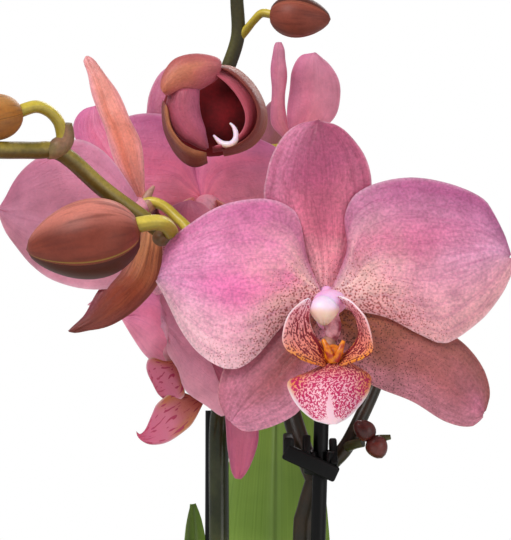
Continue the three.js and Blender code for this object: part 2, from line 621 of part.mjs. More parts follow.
function slantedHole(low, high) {
  const from = new THREE.Vector3(...low);
  const to = new THREE.Vector3(...high);
  const along = to.clone().sub(from).normalize();
  const rod = new THREE.CylinderGeometry(stakeRadius + seatGap, stakeRadius + seatGap, holeLength, 8);
  const turn = new THREE.Quaternion();
  turn.setFromUnitVectors(new THREE.Vector3(0, 1, 0), along);
  rod.applyQuaternion(turn);
  const middle = from.addScaledVector(along, holeLength / 2 - seatGap);
  rod.translate(middle.x, middle.y, middle.z);
  return solid(rod);
}

function stakePoint(low, high, z) {
  const share = (z - low[2]) / (high[2] - low[2]);
  return [low[0] + (high[0] - low[0]) * share, low[1] + (high[1] - low[1]) * share];
}

// Clips
const clipHeight = 4;
const clipWall = 1.4;

function post(x, y, z, radius, height, sides) {
  const rod = new THREE.CylinderGeometry(radius, radius, height, sides);
  rod.rotateX(Math.PI / 2);
  rod.translate(x, y, z);
  return solid(rod);
}

function bar(from, to, width, height) {
  const a = new THREE.Vector3(...from);
  const b = new THREE.Vector3(...to);
  const block = new THREE.BoxGeometry(a.distanceTo(b), width, height);
  const turn = new THREE.Quaternion();
  turn.setFromUnitVectors(new THREE.Vector3(1, 0, 0), b.clone().sub(a).normalize());
  block.applyQuaternion(turn);
  block.translate((a.x + b.x) / 2, (a.y + b.y) / 2, (a.z + b.z) / 2);
  return solid(block);
}

function doubleRing(stakeAt, stemAt, z, stemRadius) {
  const stakeBore = stakeRadius + 0.6;
  const stemBore = stemRadius + 0.7;
  return join([
    post(...stakeAt, z, stakeBore + clipWall, clipHeight, 8),
    post(...stemAt, z, stemBore + clipWall, clipHeight, 8),
    bar([...stakeAt, z], [...stemAt, z], 2.4, clipHeight),
  ]).subtract(post(...stakeAt, z, stakeBore, clipHeight + 2, 8))
    .subtract(post(...stemAt, z, stemBore, clipHeight + 2, 8));
}

const clipZ = 281.4;
const clipStake = stakePoint(stakeFrontLow, stakeFrontHigh, clipZ);
const clipFront = join([
  post(...clipStake, clipZ, 3.4, 4.6, 8),
  bar([5.8, -15.4, 284], [16.2, -15.4, 279.2], 1.6, 3.2),
  bar([6.6, -16, 284.4], [6.6, -5, 284.4], 2, 4.6),
  bar([15.6, -15.4, 281], [15.6, -9.6, 285.6], 1.6, 1.8),
  bar([10.2, -15.2, 282.4], [10.2, -13.8, 287], 1.6, 1.6),
]).subtract(post(...clipStake, clipZ, stakeRadius + 0.5, 12, 8));
addNode('clip_front', clipFront, colours.stake, 0.4);
addNode('clip_front_low', doubleRing(stakePoint(stakeFrontLow, stakeFrontHigh, 180), [9.5, -5], 180, 2.3),
  colours.stake, 0.4);
addNode('clip_left_low', doubleRing(stakePoint(stakeLeftLow, stakeLeftHigh, 220), [-7.6, -2], 220, 2.2),
  colours.stake, 0.4);

// Crown and leaves
function crownSolid(extra) {
  const profile = [[0, crownFoot - extra], [6 + extra, crownFoot + 2 - extra], [crownRadius + extra, 84],
    [crownRadius + extra, 112], [6 + extra, 122], [0, crownTop + extra]];
  const body = new THREE.LatheGeometry(profile.map(([r, z]) => new THREE.Vector2(r, z)), 14);
  body.rotateX(Math.PI / 2);
  body.translate(crownCentre.x, crownCentre.y, 0);
  return solid(body);
}

// Angles of the leaves are in degrees: compass turn, width of the sheath, lean at foot and tip
const leaves = [
  {
    name: 'leaf_1', azimuth: 78, sheath: 10.3, arc: 60,
    foot: 104, length: 200, half: 14.5, start: 86, end: 86,
  },
  {
    name: 'leaf_2', azimuth: 180, sheath: 10.3, arc: 36,
    foot: 104, length: 168, half: 10, start: 89.1, end: 88.6, twist: -20,
  },
  {
    name: 'leaf_3', azimuth: 10, sheath: 12.25, arc: 52,
    foot: 104, length: 190, half: 27, start: 70, end: -22,
  },
  {
    name: 'leaf_4', azimuth: 178, sheath: 12.15, arc: 50,
    foot: 103.5, length: 184, half: 26, start: 66, end: -18,
  },
  {
    name: 'leaf_5', azimuth: 212, sheath: 14.3, arc: 36,
    foot: 103.5, length: 160, half: 24, start: 50, end: -38,
  },
  {
    name: 'leaf_6', azimuth: 340, sheath: 13.9, arc: 34,
    foot: 103.5, length: 165, half: 25, start: 46, end: -40,
  },
];
const leafWidest = 0.62;
const leafPathSteps = 40;

function leafSurface(leaf) {
  const rad = THREE.MathUtils.degToRad;
  const out = new THREE.Vector3(Math.cos(rad(leaf.azimuth)), Math.sin(rad(leaf.azimuth)), 0);
  const side = new THREE.Vector3(-out.y, out.x, 0);
  const up = new THREE.Vector3(0, 0, 1);
  const spine = [crownCentre.clone().addScaledVector(out, leaf.sheath).addScaledVector(up, leaf.foot)];
  const lean = (u) => rad(leaf.start + (leaf.end - leaf.start) * u ** 1.3);
  for (let i = 0; i < leafPathSteps; i += 1) {
    const angle = lean((i + 0.5) / leafPathSteps);
    const next = spine[i].clone();
    next.addScaledVector(out, (Math.cos(angle) * leaf.length) / leafPathSteps);
    next.addScaledVector(up, (Math.sin(angle) * leaf.length) / leafPathSteps);
    spine.push(next);
  }
  const footHalf = leaf.sheath * rad(leaf.arc);
  const halfWidth = (u) => {
    if (u > leafWidest) return leaf.half * Math.sqrt(1 - ((u - leafWidest) / (1 - leafWidest)) ** 2);
    const rise = Math.sin((Math.PI / 2) * (u / leafWidest));
    return footHalf + (leaf.half - footHalf) * rise ** 1.6;
  };
  return (u, v) => {
    const along = 0.985 * u;
    const step = Math.min(Math.floor(along * leafPathSteps), leafPathSteps - 1);
    const middle = spine[step].clone().lerp(spine[step + 1], along * leafPathSteps - step);
    const angle = lean(along);
    const upper = out.clone().multiplyScalar(-Math.sin(angle)).addScaledVector(up, Math.cos(angle));
    const bendRadius = leaf.sheath + 60 * along;
    const turn = ((2 * v - 1) * halfWidth(along)) / bendRadius;
    const twist = rad((leaf.twist ?? 0) * along);
    const over = side.clone().multiplyScalar(Math.cos(twist)).addScaledVector(upper, Math.sin(twist));
    const inner = upper.clone().multiplyScalar(Math.cos(twist)).addScaledVector(side, -Math.sin(twist));
    middle.addScaledVector(over, bendRadius * Math.sin(turn));
    return middle.addScaledVector(inner, bendRadius * (1 - Math.cos(turn)));
  };
}

for (const leaf of leaves) {
  addNode(leaf.name, blade(leafSurface(leaf), 10, 4, leafThickness), colours.leaf, 0.35);
}

const spikeSockets = join([
  stem([[-2.8, 7.5, 112], [-3.2, 1, 118]], 3.2, 3.2, 6, 2),
  stem([[2.7, 7.5, 112], [3.4, 1, 118]], 3.2, 3.2, 6, 2),
  ellipsoid([3.3, 3.3, 3.3], [-2.8, 7.5, 112], 6, 4),
  ellipsoid([3.3, 3.3, 3.3], [2.7, 7.5, 112], 6, 4),
]);
addNode('crown', crownSolid(0).subtract(spikeSockets), colours.crown, 0.6);

// Roots spring from a collar round the crown
const rootPaths = [
  [[9, 12, 98.5], [20, 8, 98.5], [33, 0, 102.5], [43, -6, 90]],
  [[-8, 11, 98.5], [-20, 2, 98.5], [-34, -8, 103], [-43, -14, 90]],
  [[4, 7, 98.5], [10, -4, 98.5], [17, -30, 101], [18, -42, 90]],
  [[9, 18, 98.5], [20, 21, 98.5], [32, 22, 107], [48, 22, 114], [66, 22, 112], [71, 23, 98], [70, 22, 80]],
  [[-9, 18, 98.5], [-20, 22, 98.5], [-34, 26, 102], [-42, 24, 90]],
  [[-6, 7, 98.5], [-14, -2, 98.5], [-20, -22, 108], [-26, -46, 114], [-30, -62, 111], [-32, -67, 96],
    [-31, -65, 82]],
];
const rootRadius = 2.3;
const rootEndRadius = 1.8;

// The path with its last point moved on by a length
function lengthened(path, length) {
  const last = new THREE.Vector3(...path[path.length - 1]);
  const before = new THREE.Vector3(...path[path.length - 2]);
  const end = last.clone().addScaledVector(last.clone().sub(before).normalize(), length);
  return [...path.slice(0, -1), end.toArray()];
}

function rootSystem(extra) {
  const collar = new THREE.LatheGeometry([
    new THREE.Vector2(crownRadius + seatGap - extra, 96.4 - extra),
    new THREE.Vector2(crownRadius + 3 + extra, 96.4 - extra),
    new THREE.Vector2(crownRadius + 3 + extra, 101 + extra),
    new THREE.Vector2(crownRadius + seatGap - extra, 101 + extra),
    new THREE.Vector2(crownRadius + seatGap - extra, 96.4 - extra),
  ], 14);
  collar.rotateX(Math.PI / 2);
  collar.translate(crownCentre.x, crownCentre.y, 0);
  const tubes = rootPaths.map((path) => (
    stem(lengthened(path, extra), rootRadius + extra, rootEndRadius + extra, 5, 6)));
  return join([solid(collar), ...tubes]);
}
addNode('roots', rootSystem(0).subtract(crownSolid(seatGap)), colours.root, 0.6);

// Pot and bark
const pot = new THREE.LatheGeometry([
  [0, 0], [potFootRadius, 0], [potTopRadius, potHeight - rimHeight],
  [potTopRadius + rimReach, potHeight - rimHeight], [potTopRadius + rimReach, potHeight],
  [potTopRadius - potWall + 1, potHeight], [potTopRadius - potWall, potHeight - 2],
  [potFootRadius - potWall, potFloor], [0, potFloor],
].map(([r, z]) => new THREE.Vector2(r, z)), 30);
pot.rotateX(Math.PI / 2);
addNode('pot', solid(pot), colours.pot, 0.4);

const chipCount = 22;
const chance = randomFrom(11);
const wallSlope = (potTopRadius - potFootRadius) / (potHeight - rimHeight);
const bedFoot = potFloor + seatGap;
const bed = new THREE.LatheGeometry([
  [0, bedFoot], [potFootRadius - potWall - 0.6, bedFoot],
  [potFootRadius - potWall - 0.6 + wallSlope * (barkTop - bedFoot) - 0.6, barkTop], [0, barkTop],
].map(([r, z]) => new THREE.Vector2(r, z)), 24);
bed.rotateX(Math.PI / 2);
const chips = [];
for (let i = 0; i < chipCount; i += 1) {
  const chip = new THREE.BoxGeometry(12 + 8 * chance(), 8 + 6 * chance(), 4 + 2 * chance());
  const far = 42 * Math.sqrt((i + 0.5) / chipCount);
  const turn = i * 2.39996;
  chip.rotateX(0.5 * (chance() - 0.5));
  chip.rotateY(0.5 * (chance() - 0.5));
  chip.rotateZ(Math.PI * chance());
  chip.translate(far * Math.cos(turn), far * Math.sin(turn), barkTop - 0.6 + 1.6 * chance());
  chips.push(solid(chip));
}
const bark = join([solid(bed), ...chips])
  .subtract(crownSolid(seatGap))
  .subtract(rootSystem(seatGap))
  .subtract(slantedHole(stakeLeftLow, stakeLeftHigh))
  .subtract(slantedHole(stakeFrontLow, stakeFrontHigh));
addNode('bark', bark, colours.bark, 0.9);

export default group;
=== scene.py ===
import math
from functools import partial

import bmesh
import bpy
from mathutils import Matrix, Vector


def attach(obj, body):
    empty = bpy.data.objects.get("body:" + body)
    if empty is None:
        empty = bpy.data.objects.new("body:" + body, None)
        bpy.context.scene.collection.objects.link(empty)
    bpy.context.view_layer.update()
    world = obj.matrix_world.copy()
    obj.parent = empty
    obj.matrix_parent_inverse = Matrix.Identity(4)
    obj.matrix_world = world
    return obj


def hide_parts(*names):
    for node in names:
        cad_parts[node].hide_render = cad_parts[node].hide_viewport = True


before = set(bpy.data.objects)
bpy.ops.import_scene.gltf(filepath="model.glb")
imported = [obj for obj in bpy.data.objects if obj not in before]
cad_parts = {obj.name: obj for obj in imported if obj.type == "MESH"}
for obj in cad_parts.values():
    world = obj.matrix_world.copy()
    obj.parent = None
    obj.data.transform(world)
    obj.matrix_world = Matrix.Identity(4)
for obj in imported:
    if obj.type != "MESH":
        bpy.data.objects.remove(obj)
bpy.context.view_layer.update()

bl_info = {
    "name": "Potted moth orchid",
    "version": (1, 0, 0),
    "blender": (4, 5, 0),
    "location": "3D View > Sidebar > Orchid",
    "description": "Dresses the solids of a potted many-flowered moth orchid",
    "category": "Object",
}

# Everything below is in millimetres until a mesh is made, in the frame of the CAD model
MM = 0.001
BODY = "root"

# Camera that the photograph was taken with
CAMERA_PLACE = (0, -0.372, 0.320)
CAMERA_LENS = 119.5
CAMERA_SENSOR = 36.0

# Pot and bark
POT_RIM_HEIGHT = 12.0
POT_RIM_REACH = 3.0
POT_WALL = 4.0
POT_FLOOR = 5.0
BARK_TOP = 96.0

# Crown
CROWN_CENTRE = Vector((0, 15, 0))


def linear(hex_colour):
    """An sRGB hex colour as a linear colour with full opacity."""
    parts = [int(hex_colour[i:i + 2], 16) / 255 for i in (1, 3, 5)]
    return tuple(p / 12.92 if p <= 0.04045 else ((p + 0.055) / 1.055) ** 2.4 for p in parts) + (1.0,)


# Curves and meshes

def smooth_line(points, count=33):
    """Points at equal steps along a smooth curve through the given points."""
    knots = [Vector(p) for p in points]
    last = len(knots) - 1
    fine = []
    steps = 12
    for k in range(last):
        before, start, end, after = (knots[min(max(k + i, 0), last)] for i in (-1, 0, 1, 2))
        for i in range(steps):
            t = i / steps
            fine.append(0.5 * (2 * start + (end - before) * t
                               + (2 * before - 5 * start + 4 * end - after) * t * t
                               + (3 * start - before - 3 * end + after) * t ** 3))
    fine.append(knots[last])
    reach = [0.0]
    for a, b in zip(fine, fine[1:]):
        reach.append(reach[-1] + (b - a).length)
    line = []
    k = 0
    for i in range(count):
        goal = reach[-1] * i / (count - 1)
        while k < len(fine) - 2 and reach[k + 1] < goal:
            k += 1
        span = max(reach[k + 1] - reach[k], 1e-9)
        line.append(fine[k].lerp(fine[k + 1], min(max((goal - reach[k]) / span, 0), 1)))
    return line


def curve_object(name, lines, radii=None):
    """A curve of one straight-stepped line for each list of points, with a radius for each point."""
    data = bpy.data.curves.new(name, "CURVE")
    data.dimensions = "3D"
    for number, line in enumerate(lines):
        spline = data.splines.new("POLY")
        spline.points.add(len(line) - 1)
        for i, point in enumerate(line):
            spline.points[i].co = (*(Vector(point) * MM), 1.0)
            if radii:
                spline.points[i].radius = radii[number][i] * MM
    thing = bpy.data.objects.new(name, data)
    bpy.context.scene.collection.objects.link(thing)
    return thing


def mesh_object(name, points, faces, materials=(), smooth=True):
    """A mesh from points in millimetres."""
    data = bpy.data.meshes.new(name)
    data.from_pydata([tuple(Vector(p) * MM) for p in points], [], faces)
    data.validate()
    for material in materials:
        data.materials.append(material)
    if smooth:
        data.shade_smooth()
    thing = bpy.data.objects.new(name, data)
    bpy.context.scene.collection.objects.link(thing)
    return thing


# Kinds of node that the trees use most, and the setting of a smooth map range
MATH = "ShaderNodeMath"
VECTOR_MATH = "ShaderNodeVectorMath"
MAP_RANGE = "ShaderNodeMapRange"
NOISE = "ShaderNodeTexNoise"
SMOOTH = {"interpolation_type": "SMOOTHSTEP"}


def add(tree, kind, inputs=None, output=0, **settings):
    """Adds a node with its settings and its inputs, and gives one of its outputs."""
    node = tree.nodes.new(kind)
    for key, value in settings.items():
        setattr(node, key, value)
    for key, value in (inputs or {}).items():
        socket = node.inputs[key]
        if isinstance(value, bpy.types.NodeSocket):
            tree.links.new(value, socket)
        else:
            socket.default_value = value
    return node.outputs[output] if len(node.outputs) else node


def new_tree(name, sockets):
    """An empty Geometry Nodes tree with named inputs, and what its input node gives."""
    tree = bpy.data.node_groups.new(name, "GeometryNodeTree")
    tree.interface.new_socket("Geometry", in_out="INPUT", socket_type="NodeSocketGeometry")
    tree.interface.new_socket("Geometry", in_out="OUTPUT", socket_type="NodeSocketGeometry")
    for label, kind, default in sockets:
        socket = tree.interface.new_socket(label, in_out="INPUT", socket_type=kind)
        if default is not None:
            socket.default_value = default
    return tree, tree.nodes.new("NodeGroupInput").outputs


def baked(thing, tree, values):
    """The mesh that a tree makes of an object, which is removed."""
    modifier = thing.modifiers.new(tree.name, "NODES")
    modifier.node_group = tree
    names = {item.name: item.identifier for item in tree.interface.items_tree if item.in_out == "INPUT"}
    for label, value in values.items():
        modifier[names[label]] = value
    depsgraph = bpy.context.evaluated_depsgraph_get()
    mesh = bpy.data.meshes.new_from_object(
        thing.evaluated_get(depsgraph), preserve_all_data_layers=True, depsgraph=depsgraph)
    bpy.data.objects.remove(thing)
    return mesh


def joined(name, meshes):
    """One object from several meshes, at the origin."""
    things = []
    for mesh in meshes:
        thing = bpy.data.objects.new(name, mesh)
        bpy.context.scene.collection.objects.link(thing)
        things.append(thing)
    if len(things) > 1:
        with bpy.context.temp_override(
                active_object=things[0], object=things[0], selected_objects=things,
                selected_editable_objects=things):
            bpy.ops.object.join()
    things[0].name = name
    return things[0]


def mesh_of(thing):
    """The mesh of an object, which is removed."""
    mesh = thing.data
    bpy.data.objects.remove(thing)
    return mesh


def finished(piece, node):
    """Rides a piece on the plant's body, in the place of a solid."""
    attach(piece, BODY)
    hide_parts(node)
    return piece


def capped_faces(sides, rings):
    """The faces of a closed body of rings of points between a first and a last point."""
    faces = []
    for i in range(sides):
        j = (i + 1) % sides
        faces.append((0, 1 + j, 1 + i))
        for k in range(rings - 1):
            low = 1 + k * sides
            high = low + sides
            faces.append((low + i, low + j, high + j, high + i))
        last = 1 + (rings - 1) * sides
        faces.append((last + i, last + j, 1 + rings * sides))
    return faces


def lathe(profile, centre=(0, 0, 0), sides=64):
    """Points and faces of a closed body turned about the vertical through a centre.

    The profile starts and ends on the axis.
    """
    rings = profile[1:-1]
    points = [(centre[0], centre[1], centre[2] + profile[0][1])]
    for radius, height in rings:
        for i in range(sides):
            turn = 2 * math.pi * i / sides
            points.append((centre[0] + radius * math.cos(turn), centre[1] + radius * math.sin(turn),
                           centre[2] + height))
    points.append((centre[0], centre[1], centre[2] + profile[-1][1]))
    return points, capped_faces(sides, len(rings))


def outward(thing):
    """Turns all faces of a closed mesh outwards."""
    work = bmesh.new()
    work.from_mesh(thing.data)
    bmesh.ops.remove_doubles(work, verts=work.verts, dist=1e-7)
    bmesh.ops.recalc_face_normals(work, faces=work.faces)
    work.to_mesh(thing.data)
    work.free()
    return thing


# Trees

def blade_tree():
    """A thin blade, such as a petal or leaf, lofted through two edges and the line between them."""
    tree, value = new_tree("Blade", [
        ("Steps along", "NodeSocketInt", 40),
        ("Steps across", "NodeSocketInt", 20),
        ("Thickness", "NodeSocketFloat", 0.0006),
        ("Wave size", "NodeSocketFloat", 0.0),
        ("Wave turns", "NodeSocketFloat", 1.5),
        ("Wave start", "NodeSocketFloat", 0.0),
        ("Groove depth", "NodeSocketFloat", 0.0),
        ("Groove width", "NodeSocketFloat", 0.1),
        ("Front side", "NodeSocketFloat", 1.0),
        ("Front material", "NodeSocketMaterial", None),
        ("Back material", "NodeSocketMaterial", None),
    ])
    node = partial(add, tree)
    grid = node("GeometryNodeMeshGrid", {
        "Size X": 1.0, "Size Y": 1.0, "Vertices X": value["Steps along"],
        "Vertices Y": value["Steps across"]}).node
    place = node("ShaderNodeSeparateXYZ", {0: grid.outputs["UV Map"]}).node
    u = place.outputs[0]
    v = place.outputs[1]
    named = node("GeometryNodeStoreNamedAttribute", {
        "Geometry": grid.outputs["Mesh"], "Name": "UVMap", "Value": grid.outputs["UV Map"]},
        data_type="FLOAT2", domain="CORNER")

    # Shares of the two edges and the middle line at each point
    s = node(MATH, {0: v, 1: 2.0, 2: -1.0}, operation="MULTIPLY_ADD")
    s_squared = node(MATH, {0: s, 1: s}, operation="MULTIPLY")
    half = node(MATH, {0: s_squared, 1: 0.5}, operation="MULTIPLY")
    slope = node(MATH, {0: s, 1: 0.5}, operation="MULTIPLY")
    shares = [
        node(MATH, {0: half, 1: slope}, operation="SUBTRACT"),
        node(MATH, {0: 1.0, 1: s_squared}, operation="SUBTRACT"),
        node(MATH, {0: half, 1: slope}, operation="ADD"),
    ]
    position = None
    for number, share in enumerate(shares):
        point = node("GeometryNodeSampleCurve", {
            "Curves": value["Geometry"], "Factor": u, "Curve Index": number}, output="Position",
            mode="FACTOR", use_all_curves=False)
        if position is None:
            position = node(VECTOR_MATH, {0: point, "Scale": share}, operation="SCALE")
        else:
            position = node(VECTOR_MATH, {0: point, 1: share, 2: position}, operation="MULTIPLY_ADD")
    sheet = node("GeometryNodeSetPosition", {"Geometry": named, "Position": position})

    # Waves that grow towards the edges and the tip, and a groove along the middle
    beyond = node(MATH, {0: s, 1: 0.0}, operation="GREATER_THAN")
    phase = node(MATH, {0: u, 1: value["Wave turns"], 2: value["Wave start"]}, operation="MULTIPLY_ADD")
    phase = node(MATH, {0: beyond, 1: 0.2, 2: phase}, operation="MULTIPLY_ADD")
    turn = node(MATH, {0: phase, 1: 2 * math.pi}, operation="MULTIPLY")
    ripple = node(MATH, {0: turn}, operation="SINE")
    reach = node(MATH, {0: u, 1: s_squared}, operation="MULTIPLY")
    reach = node(MATH, {0: reach, 1: value["Wave size"]}, operation="MULTIPLY")
    away = node(MATH, {0: s}, operation="ABSOLUTE")
    groove = node(MAP_RANGE, {
        "Value": away, "From Max": value["Groove width"], "To Min": value["Groove depth"], "To Max": 0.0},
        **SMOOTH)
    rise = node(MATH, {0: ripple, 1: reach}, operation="MULTIPLY")
    rise = node(MATH, {0: rise, 1: groove}, operation="SUBTRACT")
    normal = node("GeometryNodeInputNormal")
    offset = node(VECTOR_MATH, {0: normal, "Scale": rise}, operation="SCALE")
    sheet = node("GeometryNodeSetPosition", {"Geometry": sheet, "Offset": offset})

    # Two faces that meet in a round edge
    length = node(MATH, {0: u, 1: 2.0, 2: -1.0}, operation="MULTIPLY_ADD")
    thin_across = node(MATH, {0: away, 1: 8.0}, operation="POWER")
    length_away = node(MATH, {0: length}, operation="ABSOLUTE")
    thin_along = node(MATH, {0: length_away, 1: 16.0}, operation="POWER")
    full_across = node(MATH, {0: 1.0, 1: thin_across}, operation="SUBTRACT")
    full_along = node(MATH, {0: 1.0, 1: thin_along}, operation="SUBTRACT")
    full = node(MATH, {0: full_across, 1: full_along}, operation="MULTIPLY")
    full = node(MATH, {0: full, 1: 0.0}, operation="MAXIMUM")
    half_wall = node(MATH, {0: value["Thickness"], 1: 0.5}, operation="MULTIPLY")
    wall = node(MATH, {0: full, 1: half_wall}, operation="MULTIPLY")
    wall = node(MATH, {0: wall, 1: value["Front side"]}, operation="MULTIPLY")
    both = tree.nodes.new("GeometryNodeJoinGeometry")
    for way, turned_when in ((-1.0, "GREATER_THAN"), (1.0, "LESS_THAN")):
        step = node(MATH, {0: wall, 1: way}, operation="MULTIPLY")
        step = node(VECTOR_MATH, {0: normal, "Scale": step}, operation="SCALE")
        side = node("GeometryNodeSetPosition", {"Geometry": sheet, "Offset": step})
        turned = node(MATH, {0: value["Front side"], 1: 0.0}, operation=turned_when)
        side = node("GeometryNodeFlipFaces", {"Mesh": side, "Selection": turned})
        side = node("GeometryNodeStoreNamedAttribute", {
            "Geometry": side, "Name": "is_back", "Value": way < 0}, data_type="BOOLEAN", domain="FACE")
        tree.links.new(side, both.inputs[0])
    whole = node("GeometryNodeMergeByDistance", {"Geometry": both.outputs[0], "Distance": 1e-6})
    whole = node("GeometryNodeSetShadeSmooth", {"Geometry": whole, "Shade Smooth": True})
    fold = node("GeometryNodeInputMeshEdgeAngle", output="Unsigned Angle")
    at_rim = node(MATH, {0: fold, 1: math.radians(80)}, operation="GREATER_THAN")
    whole = node("GeometryNodeSetShadeSmooth", {
        "Geometry": whole, "Selection": at_rim, "Shade Smooth": False}, domain="EDGE")
    whole = node("GeometryNodeRealizeInstances", {"Geometry": whole})
    is_back = node("GeometryNodeInputNamedAttribute", {"Name": "is_back"}, data_type="BOOLEAN")
    whole = node("GeometryNodeSetMaterial", {"Geometry": whole, "Material": value["Front material"]})
    whole = node("GeometryNodeSetMaterial", {
        "Geometry": whole, "Selection": is_back, "Material": value["Back material"]})
    node("NodeGroupOutput", {"Geometry": whole})
    return tree


def stem_tree():
    """A round or ribbed stem along a curve, as thick as the curve's points say."""
    tree, value = new_tree("Stem", [
        ("Sides", "NodeSocketInt", 20),
        ("Rib count", "NodeSocketFloat", 0.0),
        ("Rib depth", "NodeSocketFloat", 0.0),
        ("Material", "NodeSocketMaterial", None),
    ])
    node = partial(add, tree)
    radius = node("GeometryNodeInputRadius")
    circle = node("GeometryNodeCurvePrimitiveCircle", {"Resolution": value["Sides"]})
    around = node("GeometryNodeSplineParameter", output="Factor")
    marked = node("GeometryNodeStoreNamedAttribute", {
        "Geometry": circle, "Name": "around", "Value": around}, data_type="FLOAT", domain="POINT")
    tube = node("GeometryNodeCurveToMesh", {
        "Curve": value["Geometry"], "Profile Curve": marked, "Scale": radius, "Fill Caps": True})
    share = node("GeometryNodeInputNamedAttribute", {"Name": "around"}, data_type="FLOAT")
    turn = node(MATH, {0: share, 1: value["Rib count"]}, operation="MULTIPLY")
    turn = node(MATH, {0: turn, 1: 2 * math.pi}, operation="MULTIPLY")
    rib = node(MATH, {0: turn}, operation="COSINE")
    rib = node(MATH, {0: rib, 1: value["Rib depth"]}, operation="MULTIPLY")
    normal = node("GeometryNodeInputNormal")
    offset = node(VECTOR_MATH, {0: normal, "Scale": rib}, operation="SCALE")
    tube = node("GeometryNodeSetPosition", {"Geometry": tube, "Offset": offset})
    tube = node("GeometryNodeSetShadeSmooth", {"Geometry": tube, "Shade Smooth": True})
    tube = node("GeometryNodeRealizeInstances", {"Geometry": tube})
    tube = node("GeometryNodeSetMaterial", {"Geometry": tube, "Material": value["Material"]})
    node("NodeGroupOutput", {"Geometry": tube})
    return tree


def chip_tree():
    """Rough bark chips strewn over a bed."""
    tree, value = new_tree("Bark chips", [
        ("Density", "NodeSocketFloat", 9000.0),
        ("Spacing", "NodeSocketFloat", 0.006),
        ("Chip length", "NodeSocketFloat", 0.014),
        ("Chip width", "NodeSocketFloat", 0.009),
        ("Chip height", "NodeSocketFloat", 0.0035),
        ("Roughness", "NodeSocketFloat", 0.0022),
        ("Seed", "NodeSocketInt", 5),
        ("Material", "NodeSocketMaterial", None),
    ])
    node = partial(add, tree)
    points = node("GeometryNodeDistributePointsOnFaces", {
        "Mesh": value["Geometry"], "Distance Min": value["Spacing"], "Density Max": value["Density"],
        "Seed": value["Seed"]}, distribute_method="POISSON")
    size = node("ShaderNodeCombineXYZ", {
        "X": value["Chip length"], "Y": value["Chip width"], "Z": value["Chip height"]})
    chip = node("GeometryNodeMeshCube", {"Size": size, "Vertices X": 5, "Vertices Y": 4, "Vertices Z": 2})
    spin = node("FunctionNodeRandomValue", {
        "Min": (-0.5, -0.5, 0), "Max": (0.5, 0.5, 2 * math.pi), "Seed": value["Seed"]},
        data_type="FLOAT_VECTOR")
    grow = node("FunctionNodeRandomValue", {
        "Min": (0.6, 0.6, 0.7), "Max": (1.3, 1.2, 1.5), "Seed": value["Seed"]}, data_type="FLOAT_VECTOR")
    strewn = node("GeometryNodeInstanceOnPoints", {
        "Points": points, "Instance": chip, "Rotation": spin, "Scale": grow})
    strewn = node("GeometryNodeRealizeInstances", {"Geometry": strewn})
    noise = node(NOISE, {"Scale": 130.0, "Detail": 1.0}, output="Color")
    centred = node(VECTOR_MATH, {0: noise, 1: (0.5, 0.5, 0.5)}, operation="SUBTRACT")
    doubled = node(MATH, {0: value["Roughness"], 1: 4.0}, operation="MULTIPLY")
    shift = node(VECTOR_MATH, {0: centred, "Scale": doubled}, operation="SCALE")
    rough = node("GeometryNodeSetPosition", {"Geometry": strewn, "Offset": shift})
    rough = node("GeometryNodeRealizeInstances", {"Geometry": rough})
    rough = node("GeometryNodeSetMaterial", {"Geometry": rough, "Material": value["Material"]})
    node("NodeGroupOutput", {"Geometry": rough})
    return tree


TREES = {}


def tree_of(name):
    """The tree of that name, made when it is first asked for."""
    makers = {"blade": blade_tree, "stem": stem_tree, "chips": chip_tree}
    if name not in TREES:
        TREES[name] = makers[name]()
    return TREES[name]


# Materials

MATERIALS = {}


def bare_material(name):
    """A material with only a Principled shader and its output, and the two things to build it with."""
    material = bpy.data.materials.new(name)
    material.use_nodes = True
    tree = material.node_tree
    tree.nodes.clear()
    shader = tree.nodes.new("ShaderNodeBsdfPrincipled")
    add(tree, "ShaderNodeOutputMaterial", {"Surface": shader.outputs[0]})
    return material, tree, shader


def blade_places(tree):
    """The map and place of a blade's skin, its length and width in the map, and how far from the middle."""
    node = partial(add, tree)
    uv = node("ShaderNodeUVMap", uv_map="UVMap")
    where = node("ShaderNodeTexCoord", output="Object")
    parts = node("ShaderNodeSeparateXYZ", {0: uv}).node
    s = node(MATH, {0: parts.outputs[1], 1: 2.0, 2: -1.0}, operation="MULTIPLY_ADD")
    away = node(MATH, {0: s}, operation="ABSOLUTE")
    return uv, where, parts.outputs[0], s, away


def with_stops(ramp_colour, stops):
    """The colour of a ramp, which gets its places and colours."""
    elements = ramp_colour.node.color_ramp.elements
    while len(elements) < len(stops):
        elements.new(0.5)
    for element, (at, colour) in zip(elements, stops):
        element.position = at
        element.color = linear(colour)
    return ramp_colour


def laid_over(tree, colour, layers):
    """A colour with tints laid over it in turn, each by its share."""
    for share, tint in layers:
        if isinstance(tint, str):
            tint = linear(tint)
        colour = add(tree, "ShaderNodeMix", {0: share, 6: colour, 7: tint}, output=2, data_type="RGBA")
    return colour


def mottled(tree, colour, noise, least, most, start=0.3, end=0.7):
    """A colour darkened and lightened between two factors, as a noise goes from a start to an end."""
    factor = add(tree, MAP_RANGE, {
        "Value": noise, "From Min": start, "From Max": end, "To Min": least, "To Max": most})
    return add(tree, VECTOR_MATH, {0: colour, "Scale": factor}, operation="SCALE")


def finish_skin(tree, shader, colour, height, strength, depth, constants):
    """Gives a shader its colour, its bumps, with their depth in metres, and its constant values."""
    tree.links.new(colour, shader.inputs["Base Color"])
    bump = add(tree, "ShaderNodeBump", {"Height": height, "Strength": strength, "Distance": depth})
    tree.links.new(bump, shader.inputs["Normal"])
    for label, value in constants.items():
        shader.inputs[label].default_value = value


